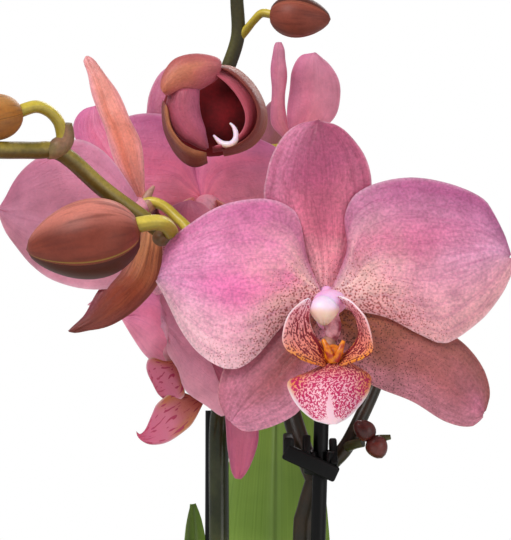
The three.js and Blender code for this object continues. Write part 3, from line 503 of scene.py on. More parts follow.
def petal_skin(name, look):
    """Petal tissue: matt, soft and a little translucent, with veins, dots and a pale margin.

    The pattern follows the petal's own length and width, and the dots keep their real size.
    """
    material, tree, shader = bare_material(name)
    node = partial(add, tree)
    _, where, u, s, away = blade_places(tree)

    # Soft patches a few millimetres wide
    patch = node(NOISE, {"Vector": where, "Scale": 130.0, "Detail": 3.0})
    drift = node(MATH, {0: patch, 1: 0.5, 2: -0.25}, operation="MULTIPLY_ADD")
    u_drift = node(MATH, {0: u, 1: drift}, operation="ADD")
    s_drift = node(MATH, {0: s, 1: drift}, operation="ADD")

    # Colour from the base to the tip, then towards the upper and the lower edge
    colour = with_stops(node("ShaderNodeValToRGB", {0: u_drift}), look["along"])
    layers = []
    for edge, far in (("upper", -1.0), ("lower", 1.0)):
        share = node(MAP_RANGE, {
            "Value": s_drift, "From Min": look["edge_from"] * far, "From Max": far,
            "To Max": look["edge_share"]}, **SMOOTH)
        layers.append((share, look[edge]))

    # Streak that runs out from the base
    from_streak = node(MATH, {0: s_drift, 1: look["streak_at"]}, operation="SUBTRACT")
    from_streak = node(MATH, {0: from_streak}, operation="ABSOLUTE")
    streak_width = node(MAP_RANGE, {
        "Value": from_streak, "From Max": look["streak_width"], "To Min": 1.0, "To Max": 0.0}, **SMOOTH)
    streak_start = node(MAP_RANGE, {
        "Value": u, "From Min": look["streak_from"], "From Max": look["streak_from"] + 0.2,
        "To Max": look["streak_share"]}, **SMOOTH)
    streak_end = node(MAP_RANGE, {
        "Value": u, "From Min": 0.55, "From Max": 0.95, "To Min": 1.0, "To Max": 0.0}, **SMOOTH)
    streak = node(MATH, {0: streak_width, 1: streak_start}, operation="MULTIPLY")
    streak = node(MATH, {0: streak, 1: streak_end}, operation="MULTIPLY")
    layers.append((streak, look["streak"]))

    # Broad soft bands and branching veins that run from the base to the edge
    fan = node("ShaderNodeCombineXYZ", {"X": u, "Y": s})
    wide = node("ShaderNodeMapping", {"Vector": fan, "Scale": (1.4, 5, 1)})
    band = node(NOISE, {"Vector": wide, "Scale": 1.0, "Distortion": 0.4})
    band = node(MAP_RANGE, {
        "Value": band, "From Min": 0.45, "From Max": 0.68, "To Max": look["band_share"]}, **SMOOTH)
    layers.append((band, look["vein"]))
    long = node("ShaderNodeMapping", {"Vector": fan, "Scale": (2.6, 8, 1)})
    vein = node(NOISE, {"Vector": long, "Scale": 1.0, "Detail": 3.0, "Distortion": 0.6})
    vein = node(MATH, {0: vein, 1: 0.5}, operation="SUBTRACT")
    vein = node(MATH, {0: vein}, operation="ABSOLUTE")
    vein = node(MAP_RANGE, {"Value": vein, "From Max": 0.05, "To Min": 1.0, "To Max": 0.0}, **SMOOTH)
    share = node(MATH, {0: vein, 1: look["vein_share"]}, operation="MULTIPLY")
    layers.append((share, look["vein"]))

    # Dots about 0.2 mm wide, dense near the base and on the lower half
    dots = node("ShaderNodeTexVoronoi", {"Vector": where, "Scale": look["dot_scale"]}, output="Distance")
    reach = node(MATH, {0: s_drift, 1: look["dot_side"], 2: u}, operation="MULTIPLY_ADD")
    limit = node(MAP_RANGE, {
        "Value": reach, "From Min": look["dots_from"], "From Max": look["dots_to"],
        "To Min": look["dot_size"], "To Max": -0.1})
    dot = node(MATH, {0: limit, 1: dots}, operation="SUBTRACT")
    dot = node(MAP_RANGE, {
        "Value": dot, "From Min": -0.08, "From Max": 0.08, "To Max": look["dot_share"]}, **SMOOTH)
    layers.append((dot, look["dot"]))

    # Pale margin
    margin = node(MAP_RANGE, {
        "Value": away, "From Min": look["margin_from"], "To Max": look["margin_share"]}, **SMOOTH)
    layers.append((margin, look["margin"]))
    colour = laid_over(tree, colour, layers)

    # Soft light and dark patches, and cell sparkle drawn coarser than the real 0.05 mm cells
    cloud = node(NOISE, {"Vector": where, "Scale": 260.0, "Detail": 4.0})
    colour = mottled(tree, colour, cloud, 0.87, 1.13)
    cells = node(NOISE, {"Vector": where, "Scale": 1900.0})
    colour = mottled(tree, colour, cells, 1 - look["sparkle"], 1 + look["sparkle"])
    height = node(MATH, {0: vein, 1: -0.4, 2: cells}, operation="MULTIPLY_ADD")
    finish_skin(tree, shader, colour, height, 0.4, 0.0003, {
        "Roughness": 0.5, "Subsurface Weight": 0.15, "Subsurface Radius": (1, 0.5, 0.5),
        "Subsurface Scale": 0.001, "Sheen Weight": 0.03, "Sheen Roughness": 0.4})
    return material


def lip_skin(name, look):
    """Lip tissue: glossy and pale, with crimson dashes, warm margins and a white edge.

    The dashes follow the lobe's own length and width.
    """
    material, tree, shader = bare_material(name)
    node = partial(add, tree)
    uv, where, u, s, away = blade_places(tree)
    colour = with_stops(node("ShaderNodeValToRGB", {0: u}), look["along"])

    # Warm shoulders
    warm_along = node(MAP_RANGE, {
        "Value": u, "From Min": look["warm_at"] - 0.25, "From Max": look["warm_at"]}, **SMOOTH)
    warm_end = node(MAP_RANGE, {
        "Value": u, "From Min": look["warm_at"] + 0.08, "From Max": look["warm_at"] + 0.3, "To Min": 1.0,
        "To Max": 0.0}, **SMOOTH)
    side = node(MATH, {0: s, 1: look["warm_side"]}, operation="MULTIPLY")
    side = node(MATH, {0: side, 1: away}, operation="MAXIMUM")
    warm_out = node(MAP_RANGE, {"Value": side, "From Min": 0.35, "From Max": 0.95}, **SMOOTH)
    warm = node(MATH, {0: warm_along, 1: warm_end}, operation="MULTIPLY")
    warm = node(MATH, {0: warm, 1: warm_out}, operation="MULTIPLY")

    # White wedge at the tip and a plain rim, where the marks fade
    wedge = node(MATH, {0: away, 1: look["wedge"], 2: u}, operation="MULTIPLY_ADD")
    fade = node(MAP_RANGE, {
        "Value": wedge, "From Min": look["fade_from"], "From Max": look["fade_to"]}, **SMOOTH)
    tip = node(MAP_RANGE, {"Value": u, "From Min": look["tip"], "From Max": look["tip"] + 0.08}, **SMOOTH)
    rim_along = node(MAP_RANGE, {"Value": u, "From Min": look["rim_from"], "From Max": look["rim_to"]})
    rim = node(MAP_RANGE, {"Value": away, "From Min": 0.88, "From Max": 0.98}, **SMOOTH)
    rim = node(MATH, {0: rim, 1: rim_along}, operation="MULTIPLY")
    plain = node(MATH, {0: fade, 1: tip}, operation="MAXIMUM")
    plain = node(MATH, {0: plain, 1: rim}, operation="MAXIMUM")

    # Dashes that run together into a maze, more of them on the inner side, and fine dots
    long = node("ShaderNodeMapping", {"Vector": uv, "Scale": look["dashes"]})
    maze = node(NOISE, {"Vector": long, "Scale": 1.0, "Detail": 0.4, "Distortion": 0.5})
    maze = node(MATH, {0: s, 1: look["dash_side"], 2: maze}, operation="MULTIPLY_ADD")
    less = node(MATH, {0: plain, 1: 0.4}, operation="MULTIPLY")
    level = node(MATH, {0: maze, 1: less}, operation="SUBTRACT")
    dash = node(MAP_RANGE, {
        "Value": level, "From Min": look["dash_level"], "From Max": look["dash_level"] + 0.04}, **SMOOTH)
    cell = node("ShaderNodeTexVoronoi", {"Vector": where, "Scale": 2300.0}, output="Distance")
    limit = node(MATH, {0: plain, 1: -0.6, 2: look["dot_size"]}, operation="MULTIPLY_ADD")
    dot = node(MATH, {0: limit, 1: cell}, operation="SUBTRACT")
    dot = node(MAP_RANGE, {"Value": dot, "From Min": -0.08, "From Max": 0.08}, **SMOOTH)
    dash = node(MATH, {0: dash, 1: dot}, operation="MAXIMUM")
    deep = node(MAP_RANGE, {"Value": u, "From Min": 0.05, "From Max": 0.45}, **SMOOTH)
    ink = laid_over(tree, linear(look["dash_base"]), [(deep, look["dash"])])
    margin = node(MAP_RANGE, {"Value": away, "From Min": 0.88, "To Max": look["margin_share"]}, **SMOOTH)
    margin = node(MATH, {0: margin, 1: rim_along}, operation="MULTIPLY")
    colour = laid_over(tree, colour, [(warm, look["warm"]), (dash, ink), (margin, "#fbeef3")])
    cells = node(NOISE, {"Vector": where, "Scale": 1900.0})
    finish_skin(tree, shader, colour, cells, 0.3, 0.0003, {
        "Roughness": 0.38, "Subsurface Weight": 0.15, "Subsurface Scale": 0.001})
    return material


def waxy_skin(name, look):
    """Waxy plant skin, as on stems, buds and roots: mottled, with soft gloss.

    A look may name a third colour for the faces that look down: painted shade under the spikes, stalks and
    column, and a warmer cream under the anther cap.
    """
    material, tree, shader = bare_material(name)
    node = partial(add, tree)
    where = node("ShaderNodeTexCoord", output="Object")
    coarse = node(NOISE, {"Vector": where, "Scale": look["patches"], "Detail": 3.0})
    fine = node(NOISE, {"Vector": where, "Scale": look["grain"]})
    blend = node(MAP_RANGE, {"Value": coarse, "From Min": 0.35, "From Max": 0.65}, **SMOOTH)
    layers = [(blend, look["two"])]
    if "under" in look:
        normal = node("ShaderNodeNewGeometry", output="Normal")
        up = node("ShaderNodeSeparateXYZ", {0: normal}, output=2)
        downward_shade_and_tint = node(MAP_RANGE, {
            "Value": up, "From Min": -0.5, "From Max": 0.35, "To Min": 1.0, "To Max": 0.0}, **SMOOTH)
        layers.append((downward_shade_and_tint, look["under"]))
    colour = laid_over(tree, linear(look["one"]), layers)
    colour = mottled(tree, colour, fine, 1 - look["speck"], 1 + look["speck"])
    finish_skin(tree, shader, colour, fine, look["bump"], 0.0002, {
        "Roughness": look["roughness"], "Subsurface Weight": look["subsurface"],
        "Subsurface Scale": 0.001})
    return material


def bud_skin(name, look):
    """Waxy bud skin: painted light along the upper side, one darker sepal, pale seams beside it and soft
    veins along the bud.
    """
    material, tree, shader = bare_material(name)
    node = partial(add, tree)
    uv = node("ShaderNodeUVMap", uv_map="UVMap")
    where = node("ShaderNodeTexCoord", output="Object")
    around = node("ShaderNodeSeparateXYZ", {0: uv}, output=1)
    coarse = node(NOISE, {"Vector": where, "Scale": 180.0})
    blend = node(MAP_RANGE, {"Value": coarse, "From Min": 0.35, "From Max": 0.65}, **SMOOTH)

    # Painted light along the upper side, with veins
    normal = node("ShaderNodeNewGeometry", output="Normal")
    up = node("ShaderNodeSeparateXYZ", {0: normal}, output=2)
    lit = node(MAP_RANGE, {
        "Value": up, "From Min": 0.1, "From Max": 0.8, "To Max": look["top_share"]}, **SMOOTH)
    long = node("ShaderNodeMapping", {"Vector": uv, "Scale": (2, 30, 1)})
    lines = node(NOISE, {"Vector": long, "Scale": 1.0})
    line = node(MAP_RANGE, {
        "Value": lines, "From Min": 0.45, "From Max": 0.7, "To Max": look["vein_share"]}, **SMOOTH)

    # The sepal that lies in the map between the seams at two thirds and at the end
    dark = node(MAP_RANGE, {"Value": around, "From Min": 0.667, "From Max": 0.674}, **SMOOTH)
    dark = node(MATH, {0: dark, 1: look["sepal_share"]}, operation="MULTIPLY")
    at_seam = node(MATH, {0: around, 1: 3.0}, operation="MULTIPLY")
    at_seam = node(MATH, {0: at_seam, 1: 0.5}, operation="ADD")
    at_seam = node(MATH, {0: at_seam}, operation="FRACT")
    at_seam = node(MATH, {0: at_seam, 1: 0.5}, operation="SUBTRACT")
    at_seam = node(MATH, {0: at_seam}, operation="ABSOLUTE")
    edge = node(MAP_RANGE, {
        "Value": at_seam, "From Max": 0.035, "To Min": look["seam_share"], "To Max": 0.0}, **SMOOTH)
    colour = laid_over(tree, linear(look["one"]), [
        (blend, look["two"]), (lit, look["top"]), (line, look["vein"]), (dark, look["sepal"]),
        (edge, look["seam"])])
    fine = node(NOISE, {"Vector": where, "Scale": 2200.0})
    colour = mottled(tree, colour, fine, 0.93, 1.07)
    height = node(MATH, {0: lines, 1: 0.8, 2: fine}, operation="MULTIPLY_ADD")
    finish_skin(tree, shader, colour, height, 0.12, 0.0002, {
        "Roughness": 0.5, "Specular IOR Level": 0.3, "Subsurface Weight": 0.08,
        "Subsurface Scale": 0.001})
    return material


def leaf_skin(name, look):
    """Leathery leaf skin with a waxy shine, a dark midrib and faint lines along the leaf."""
    material, tree, shader = bare_material(name)
    node = partial(add, tree)
    uv, where, _, _, away = blade_places(tree)
    long = node("ShaderNodeMapping", {"Vector": uv, "Scale": (5, 60, 1)})
    lines = node(NOISE, {"Vector": long, "Scale": 1.0})
    patches = node(NOISE, {"Vector": where, "Scale": 45.0, "Detail": 3.0})
    total = node(MATH, {0: lines, 1: 0.45, 2: patches}, operation="MULTIPLY_ADD")
    blend = node(MAP_RANGE, {"Value": total, "From Min": 0.5, "From Max": 0.95})
    rib = node(MAP_RANGE, {"Value": away, "From Max": 0.09, "To Min": 0.55, "To Max": 0.0}, **SMOOTH)
    colour = laid_over(tree, linear(look["one"]), [(blend, look["two"]), (rib, look["rib"])])
    finish_skin(tree, shader, colour, lines, 0.12, 0.0003, {
        "Roughness": look["roughness"], "Coat Weight": 0.1, "Coat Roughness": 0.25})
    return material


def moulded_plastic(name, look):
    """Moulded plastic: even colour, a satin skin and faint flow marks."""
    material, tree, shader = bare_material(name)
    where = add(tree, "ShaderNodeTexCoord", output="Object")
    flow = add(tree, NOISE, {"Vector": where, "Scale": look["marks"]})
    colour = mottled(tree, linear(look["one"])[:3], flow, 0.8, 1.2, 0.0, 1.0)
    finish_skin(tree, shader, colour, flow, 0.08, 0.0002, {
        "Roughness": look["roughness"], "Specular IOR Level": 0.25})
    return material


def fir_bark(name, look):
    """Fir bark chips: dry, fibrous, dark brown with paler layers."""
    material, tree, shader = bare_material(name)
    node = partial(add, tree)
    where = node("ShaderNodeTexCoord", output="Object")
    layers = node("ShaderNodeMapping", {"Vector": where, "Scale": (90, 90, 420)})
    coarse = node(NOISE, {"Vector": layers, "Scale": 1.0, "Detail": 5.0})
    fine = node(NOISE, {"Vector": where, "Scale": 1400.0, "Detail": 3.0})
    colour = with_stops(node("ShaderNodeValToRGB", {0: coarse}), look["layers"])
    height = node(MATH, {0: coarse, 1: 2.0, 2: fine}, operation="MULTIPLY_ADD")
    finish_skin(tree, shader, colour, height, 0.6, 0.0006, {"Roughness": 0.9})
    return material


def stoneware_glaze(name, look):
    """Glazed stoneware: a smooth gloss coat over a warm body with tiny iron specks."""
    material, tree, shader = bare_material(name)
    node = partial(add, tree)
    where = node("ShaderNodeTexCoord", output="Object")
    cloud = node(NOISE, {"Vector": where, "Scale": 26.0, "Detail": 3.0})
    glaze = tuple(bpy.context.scene.orchid_colours.glaze)[:3]
    colour = mottled(tree, glaze, cloud, 0.93, 1.04, 0.0, 1.0)
    speck = node("ShaderNodeTexVoronoi", {"Vector": where, "Scale": 260.0}, output="Distance")
    mark = node(MAP_RANGE, {
        "Value": speck, "From Min": 0.05, "From Max": 0.1, "To Min": 0.5, "To Max": 0.0})
    colour = laid_over(tree, colour, [(mark, look["speck"])])
    finish_skin(tree, shader, colour, cloud, 0.1, 0.0008, {
        "Roughness": 0.22, "Coat Weight": 0.5, "Coat Roughness": 0.08})
    return material


# Looks of the skins

# Matt petal tissue: the front bloom, with a lighter left petal as painted light and lower sepals darkened
# partly as painted shade, then petals seen from behind or farther off, the far copies darker as painted
# shade
PETAL = dict(
    along=[(0, "#ffe2d8"), (0.22, "#ffc8c2"), (0.45, "#e396ac"), (0.8, "#db92b2"), (1, "#da96b8")],
    upper="#ae5488", lower="#eeacae", edge_from=0, edge_share=0.85, streak="#c84a7e", streak_at=-0.25,
    streak_from=0.06, streak_width=0.36, streak_share=0.5, vein="#a84078", vein_share=0.22, band_share=0.26,
    dot="#a0241e", dot_scale=2300, dot_side=-0.3, dots_from=0, dots_to=0.7, dot_size=0.46, dot_share=0.8,
    margin="#f0ccd6", margin_from=0.94, margin_share=0.22, sparkle=0.2)
# Lighter copy for the front bloom's left petal, the side the key light falls on: painted light
LIT_PETAL = dict(
    PETAL, along=[(0, "#ffe4d4"), (0.22, "#ffc8ba"), (0.45, "#f297b8"), (0.8, "#ee98c2"), (1, "#eda4cc")],
    upper="#c86496", lower="#fac6cc", streak="#ea5ea8", streak_at=0.04, streak_width=0.42,
    streak_share=0.62, vein="#b84a8a", margin="#f6d2dd")
SEPAL = dict(
    PETAL, along=[(0, "#ffe0da"), (0.14, "#ffb8bc"), (0.35, "#e2778f"), (0.7, "#b04e74"), (1, "#96425e")],
    upper="#d2769a", lower="#c05c7e", edge_from=0.25, streak="#a83e62", streak_at=0, streak_from=0.2,
    streak_width=0.5, vein="#902e54", vein_share=0.3, band_share=0.32, dot_side=0, dots_to=0.5,
    dot_size=0.36)
# Lower sepals: the golden base and the dots are their own colour; their darker tone overall is painted shade
# under the petals
LOW_SEPAL = dict(
    PETAL, along=[(0, "#8e5414"), (0.3, "#9c5630"), (0.55, "#ae5e5e"), (1, "#b6647c")], upper="#8e4a3c",
    lower="#c87e90", streak="#a05450", streak_at=0, streak_width=0.5, streak_share=0.6, dot="#45180f",
    dot_side=-0.1, dots_to=1.35, dot_size=0.44, vein="#84404a", margin="#cf9a94")
BRIGHT_LOW_SEPAL = dict(
    LOW_SEPAL, along=[(0, "#5c300c"), (0.25, "#7a3a1e"), (0.5, "#ae5e6a"), (1, "#e48cac")], upper="#b8667a",
    lower="#e494b0", streak="#a8565a", dots_to=0.7)
PLAIN = dict(PETAL, dot_share=0, vein_share=0.08, band_share=0.25, sparkle=0.04)
PETAL_LOOKS = {
    "petal_face": PETAL,
    "bright_petal_face": LIT_PETAL,
    "sepal_face": SEPAL,
    "low_sepal_face": LOW_SEPAL,
    "bright_low_sepal_face": BRIGHT_LOW_SEPAL,
    "petal_back": dict(
        PLAIN, along=[(0, "#b9787e"), (0.3, "#cf8499"), (1, "#d391ac")], streak="#bd5f7a",
        streak_share=0.5),
    "sepal_back": dict(
        PLAIN, along=[(0, "#d8847c"), (0.4, "#ea8a76"), (0.8, "#f8a294"), (1, "#ffb2b4")], streak="#e0785a",
        streak_share=0.6, upper="#f0a2ae", lower="#f29c9c", edge_from=0.4, vein="#a64c40", vein_share=0.2,
        sparkle=0.1, margin="#ffc8cc", margin_from=0.8),
    # Back of bloom B's lower sepal: the lighter base is a painted highlight and the dark tip is painted
    # shade
    "low_sepal_back": dict(
        PLAIN, along=[(0, "#fcae74"), (0.25, "#f09c68"), (0.5, "#b04a28"), (1, "#74302c")],
        streak="#b85428", streak_share=0.5, upper="#8a3a30", lower="#8a3a4e", edge_from=0.3, vein="#6c2218",
        vein_share=0.3, band_share=0.5, margin="#b0605a"),
    # Darker copy of the petal for the rear blooms: painted shade
    "far_petal": dict(
        PLAIN, along=[(0, "#fd96ac"), (0.3, "#f288a8"), (1, "#dc7ca4")], upper="#cd6a9c", lower="#f09ab2",
        streak="#e0668c"),
    "pale_petal": dict(
        PLAIN, along=[(0, "#e07c88"), (0.3, "#ea8a9e"), (1, "#ea96b4")], upper="#d4729a", lower="#e08aa4",
        streak="#e47a9c", vein="#c46484"),
    # Darker copy of the sepal for the rear blooms: painted shade
    "far_sepal": dict(
        PLAIN, along=[(0, "#de7684"), (0.4, "#d06880"), (1, "#c66c88")], upper="#c46c8c", lower="#be647c",
        streak="#bc566e"),
    "hanging": dict(
        PLAIN, along=[(0, "#d47c94"), (0.6, "#d2708c"), (1, "#c25674")], upper="#cc6486", lower="#c05c7c",
        streak="#d87c96"),
    # Darker copy of the petal back for the rear blooms and bloom E's hidden petal: painted shade
    "far_back": dict(
        PLAIN, along=[(0, "#8a463a"), (0.5, "#8f4a48"), (1, "#a05a62")], upper="#9c5268", lower="#9c5268",
        streak="#7d3a34"),
    "near_back": dict(
        PLAIN, along=[(0, "#e08ca0"), (0.4, "#f29db8"), (1, "#eaa0c0")], upper="#e48cb0", lower="#eca0b4",
        streak="#ee90b0", vein="#c87090", vein_share=0.03),
    "hood": dict(
        PLAIN, along=[(0, "#d67e5c"), (0.5, "#d0745c"), (1, "#c46672")], upper="#b4545a", lower="#c46078",
        edge_from=0.05, streak="#de8c66", vein="#a84c44", vein_share=0.2, sparkle=0.08),
    "cheek": dict(
        PLAIN, along=[(0, "#b45468"), (0.5, "#ac4a60"), (1, "#903644")], upper="#84323c", lower="#c8688a",
        streak="#b4506a", vein="#80304a", vein_share=0.2, sparkle=0.08),
    "keel": dict(
        PLAIN, along=[(0, "#8a3a2c"), (0.5, "#7a2c26"), (1, "#9a4a38")], upper="#c07a50", lower="#6b2422",
        streak="#74282a", vein="#5a1c1c", vein_share=0.2, margin="#c98a58"),
    "outer_rim": dict(
        PLAIN, along=[(0, "#b4604a"), (0.4, "#a44a34"), (1, "#7c2a26")], upper="#7c2c28", lower="#96502c",
        streak="#8c3828", vein="#6c2420", vein_share=0.2, margin="#8c5030"),
    "inner_rim": dict(
        PLAIN, along=[(0, "#e08c98"), (0.3, "#d06474"), (0.6, "#8a2630"), (1, "#74141e")], upper="#c04c60",
        lower="#8c2634", streak="#b44458", vein="#7c2c34", vein_share=0.2, margin="#d58f9c"),
}
# Glossy lip tissue with crimson marks
LIP = dict(
    warm_at=0.3, warm_side=0, dashes=(8, 14, 1), dash_side=0, dot_size=0, wedge=0, tip=1.2, fade_from=0.9,
    fade_to=1.2, rim_from=0, rim_to=0.2, margin_share=0.3)
LIP_LOOKS = {
    "lip_lobe": dict(
        LIP, along=[(0, "#d06450"), (0.2, "#e89a88"), (0.45, "#f0aebc"), (0.8, "#f4c6d2"), (1, "#f4d2d8")],
        warm="#e8903a", dashes=(38, 40, 1), dash_level=0.475, dash="#c4105a", dash_base="#7e1420",
        dot_size=0.3, wedge=-1.5, tip=0.86, fade_from=0.5, fade_to=0.62, rim_from=0.3, rim_to=0.5,
        margin_share=0.7),
    "lip_side": dict(
        LIP, along=[(0, "#fbe4ec"), (0.2, "#f2a8b2"), (0.6, "#ee8c7c"), (1, "#e88c4c")], warm="#ee9220",
        warm_at=0.72, warm_side=-1, dashes=(8, 17, 1), dash_side=0.1, dash_level=0.53, dash="#7e0f22",
        dash_base="#b41c48", dot_size=0.4, fade_from=1.2, fade_to=1.5, rim_from=0.6, rim_to=0.3,
        margin_share=0.8),
    # Darker copy of the lip for bloom E: painted shade
    "lip_far": dict(
        LIP,
        along=[(0, "#a8503c"), (0.25, "#c06a60"), (0.45, "#dc7c94"), (0.75, "#d46888"), (1, "#bc4462")],
        warm="#c87a44", dash_level=0.6, dash="#b83a5e", dash_base="#8c2c34"),
    "lip_pale": dict(
        LIP,
        along=[(0, "#e08878"), (0.25, "#f09c98"), (0.45, "#f4a6b4"), (0.75, "#f09cb0"), (1, "#e88aa0")],
        warm="#d88a50", dash_level=0.62, dash="#b83860", dash_base="#8c2834"),
}
# Waxy skins of stems, stalks, small buds, roots, crown and the blooms' middle parts; a look's under colour
# is painted shade on faces that look down, save on the anther cap, where it is a warmer cream
WAX = dict(patches=260, grain=1500, bump=0.2, roughness=0.5, subsurface=0.05, speck=0.18)
WAXY_LOOKS = {
    "spike": dict(WAX, one="#8a7824", two="#a8923c", under="#5c4818", patches=160, roughness=0.36),
    "node": dict(WAX, one="#7a6438", two="#8c6448"),
    "knob": dict(WAX, one="#6e5e24", two="#6a4626"),
    "green_spike": dict(
        WAX, one="#272b14", two="#3c4022", patches=120, bump=0.1, roughness=0.2, speck=0.06),
    "top_spike": dict(WAX, one="#46400e", two="#56521a", under="#241e08", patches=160, roughness=0.6),
    "low_spike": dict(WAX, one="#1f1c0d", two="#33240f", patches=160, roughness=0.38),
    "pedicel": dict(
        WAX, one="#c6b034", two="#e0c850", under="#98821f", patches=220, grain=1800, bump=0.12,
        roughness=0.34, speck=0.08),
    "root": dict(WAX, one="#a3ad93", two="#8c987a", patches=90, grain=900, bump=0.4, roughness=0.75),
    "crown": dict(WAX, one="#7c8c4c", two="#8f9357", patches=60, grain=700, bump=0.3),
    "cap": dict(
        WAX, one="#fbd6f2", two="#ffe6f4", under="#ffd8c4", patches=200, grain=2500, bump=0.03,
        roughness=0.35, subsurface=0.3, speck=0.02),
    "column": dict(
        WAX, one="#fbaee2", two="#ffc8ee", under="#f0a0c4", patches=200, grain=2500, bump=0.03,
        roughness=0.35, subsurface=0.3, speck=0.02),
    # Darker copy of the column and cap for the rear blooms: painted shade
    "far_column": dict(
        WAX, one="#e48ca4", two="#f4a8b8", under="#c86c7c", patches=300, grain=2500, bump=0.1,
        roughness=0.4, subsurface=0.2, speck=0.05),
    "callus": dict(
        WAX, one="#a8241a", two="#f29414", patches=620, grain=2500, roughness=0.35, subsurface=0.2,
        speck=0.08),
    "throat": dict(
        WAX, one="#9a2c44", two="#ecaab6", patches=520, grain=2500, bump=0.15, roughness=0.4,
        subsurface=0.2, speck=0.08),
    # Dark red inside of the half-open bud: partly the red of the parts inside, partly painted shade in its
    # opening
    "maroon": dict(WAX, one="#5e040c", two="#7c0c16", patches=200, bump=0.1, roughness=0.95),
    "hub": dict(
        WAX, one="#b98a78", two="#a8714f", patches=250, grain=2000, bump=0.15, roughness=0.45,
        subsurface=0.1),
    "shoot": dict(WAX, one="#5c5a24", two="#43401c", grain=1800, roughness=0.4),
    "shoot_bud": dict(WAX, one="#4a1a16", two="#6e2c24", grain=1800, roughness=0.35, subsurface=0.1),
    "small_bud": dict(WAX, one="#8c4a3a", two="#b06b4e", grain=1800, roughness=0.4, subsurface=0.1),
}
# Waxy sepals of the closed buds; top is the painted light on their upper side
BUD_LOOKS = {
    "bud": dict(
        one="#743022", two="#843a2a", top="#e48a7a", top_share=0.85, vein="#642a20", vein_share=0.6,
        sepal="#441408", sepal_share=0.92, seam="#a08634", seam_share=0.85),
    "bud_tan": dict(
        one="#b2702a", two="#9a5e24", top="#d0985a", top_share=0.6, vein="#5c3a20", vein_share=0.5,
        sepal="#8a5830", sepal_share=0.5, seam="#4a3018", seam_share=0.6),
    "bud_dark": dict(
        one="#7c3a2c", two="#8c4434", top="#b05c46", top_share=0.7, vein="#58231a", vein_share=0.5,
        sepal="#3c1a10", sepal_share=0.8, seam="#6c4a20", seam_share=0.5),
}
# Leathery leaves, moulded plastic, fir bark and glazed stoneware
LEAF_LOOKS = {
    "leaf": dict(one="#64822c", two="#84a142", rib="#4f6428", roughness=0.38),
    "leaf_under": dict(one="#6c8a38", two="#8fa856", rib="#4f6428", roughness=0.5),
}
PLASTIC_LOOKS = {
    "stake_plastic": dict(one="#020202", roughness=0.4, marks=500.0),
    "clip_plastic": dict(one="#020202", roughness=0.5, marks=700.0),
}
BARK_LOOKS = {"fir_bark": dict(layers=[(0.3, "#3a2417"), (0.5, "#6a452c"), (0.7, "#a07a54")])}
GLAZE_LOOKS = {"stoneware_glaze": dict(speck="#7c6a55")}
SKINS = [
    (petal_skin, PETAL_LOOKS), (lip_skin, LIP_LOOKS), (waxy_skin, WAXY_LOOKS),
    (bud_skin, BUD_LOOKS), (leaf_skin, LEAF_LOOKS), (moulded_plastic, PLASTIC_LOOKS),
    (fir_bark, BARK_LOOKS), (stoneware_glaze, GLAZE_LOOKS),
]


def material_of(name):
    """The material of that name, made when it is first asked for."""
    if name not in MATERIALS:
        skin, look = next((skin, looks[name]) for skin, looks in SKINS if name in looks)
        MATERIALS[name] = skin(name, look)
    return MATERIALS[name]


# Blades

def form_lines(form, steps=33):
    """The two edges and the middle line of a form, which gives its edges from the base to the tip
    and its depth at a share along and a place across, from -1 to 1.
    """
    upper, lower, depth = form
    upper = smooth_line(upper, steps)
    lower = smooth_line(lower, steps)
    lines = [[], [], []]
    for i, (high, low) in enumerate(zip(upper, lower)):
        share = i / (steps - 1)
        for line, v in zip(lines, (0, 0.5, 1)):
            flat = high.lerp(low, v)
            line.append(Vector((flat.x, depth(share, 2 * v - 1), flat.y)))
    return lines


def facing(lines, way):
    """1 if a blade's normal is on the side of a direction, or else -1."""
    middle = len(lines[1]) // 2
    along = lines[1][middle + 2] - lines[1][middle - 2]
    across = lines[2][middle] - lines[0][middle]
    return 1.0 if along.cross(across).dot(Vector(way)) > 0 else -1.0


def blade_mesh(name, lines, face, back, front_way=(0, -1, 0), **values):
    """The mesh of a blade lofted through three lines, its front towards a direction."""
    settings = {"Front material": material_of(face), "Back material": material_of(back),
                "Front side": facing(lines, front_way)}
    labels = {"along": "Steps along", "across": "Steps across", "thickness": "Thickness",
              "wave": "Wave size", "turns": "Wave turns", "start": "Wave start",
              "groove": "Groove depth", "groove_width": "Groove width"}
    lengths = {"thickness", "wave", "groove"}
    for key, value in values.items():
        settings[labels[key]] = value * MM if key in lengths else value
    return baked(curve_object(name, lines), tree_of("blade"), settings)


def stem_mesh(name, points, radii, material, count=40, sides=18, ribs=0.0, rib_depth=0.0):
    """The mesh of a stem through points, its thickness given at some of them."""
    line = smooth_line(points, count)
    thickness = []
    for i in range(count):
        at = i / (count - 1) * (len(radii) - 1)
        k = min(int(at), len(radii) - 2)
        thickness.append(radii[k] + (radii[k + 1] - radii[k]) * (at - k))
    return baked(curve_object(name, [line], [thickness]), tree_of("stem"), {
        "Sides": sides, "Rib count": ribs, "Rib depth": rib_depth * MM, "Material": material_of(material)})


def ball_mesh(name, radii, centre, material, rings=16, sides=24, shape=None):
    """The mesh of a rounded body, its points moved by a shape function."""
    points = []
    faces = []
    for k in range(rings + 1):
        polar = math.pi * k / rings
        for i in range(sides):
            turn = 2 * math.pi * i / sides
            out = math.sin(polar)
            unit = Vector((out * math.cos(turn), out * math.sin(turn), math.cos(polar)))
            point = Vector((unit.x * radii[0], unit.y * radii[1], unit.z * radii[2]))
            if shape:
                point = shape(unit, point)
            points.append(point + Vector(centre))
    for k in range(rings):
        for i in range(sides):
            j = (i + 1) % sides
            faces.append((k * sides + i, (k + 1) * sides + i, (k + 1) * sides + j, k * sides + j))
    thing = mesh_object(name, points, faces, [material_of(material)])
    return mesh_of(outward(thing))


# Blooms

def bowed(rise, slope=0.0, bow=0.0, power=1.0, curl=0.0):
    """The depth of a form with a slope towards the tip, a bow across its middle and a curled tip."""
    return lambda u, s: (
        rise + slope * u ** power + bow * math.sin(math.pi * u) * (1 - s * s) + curl * u * u)


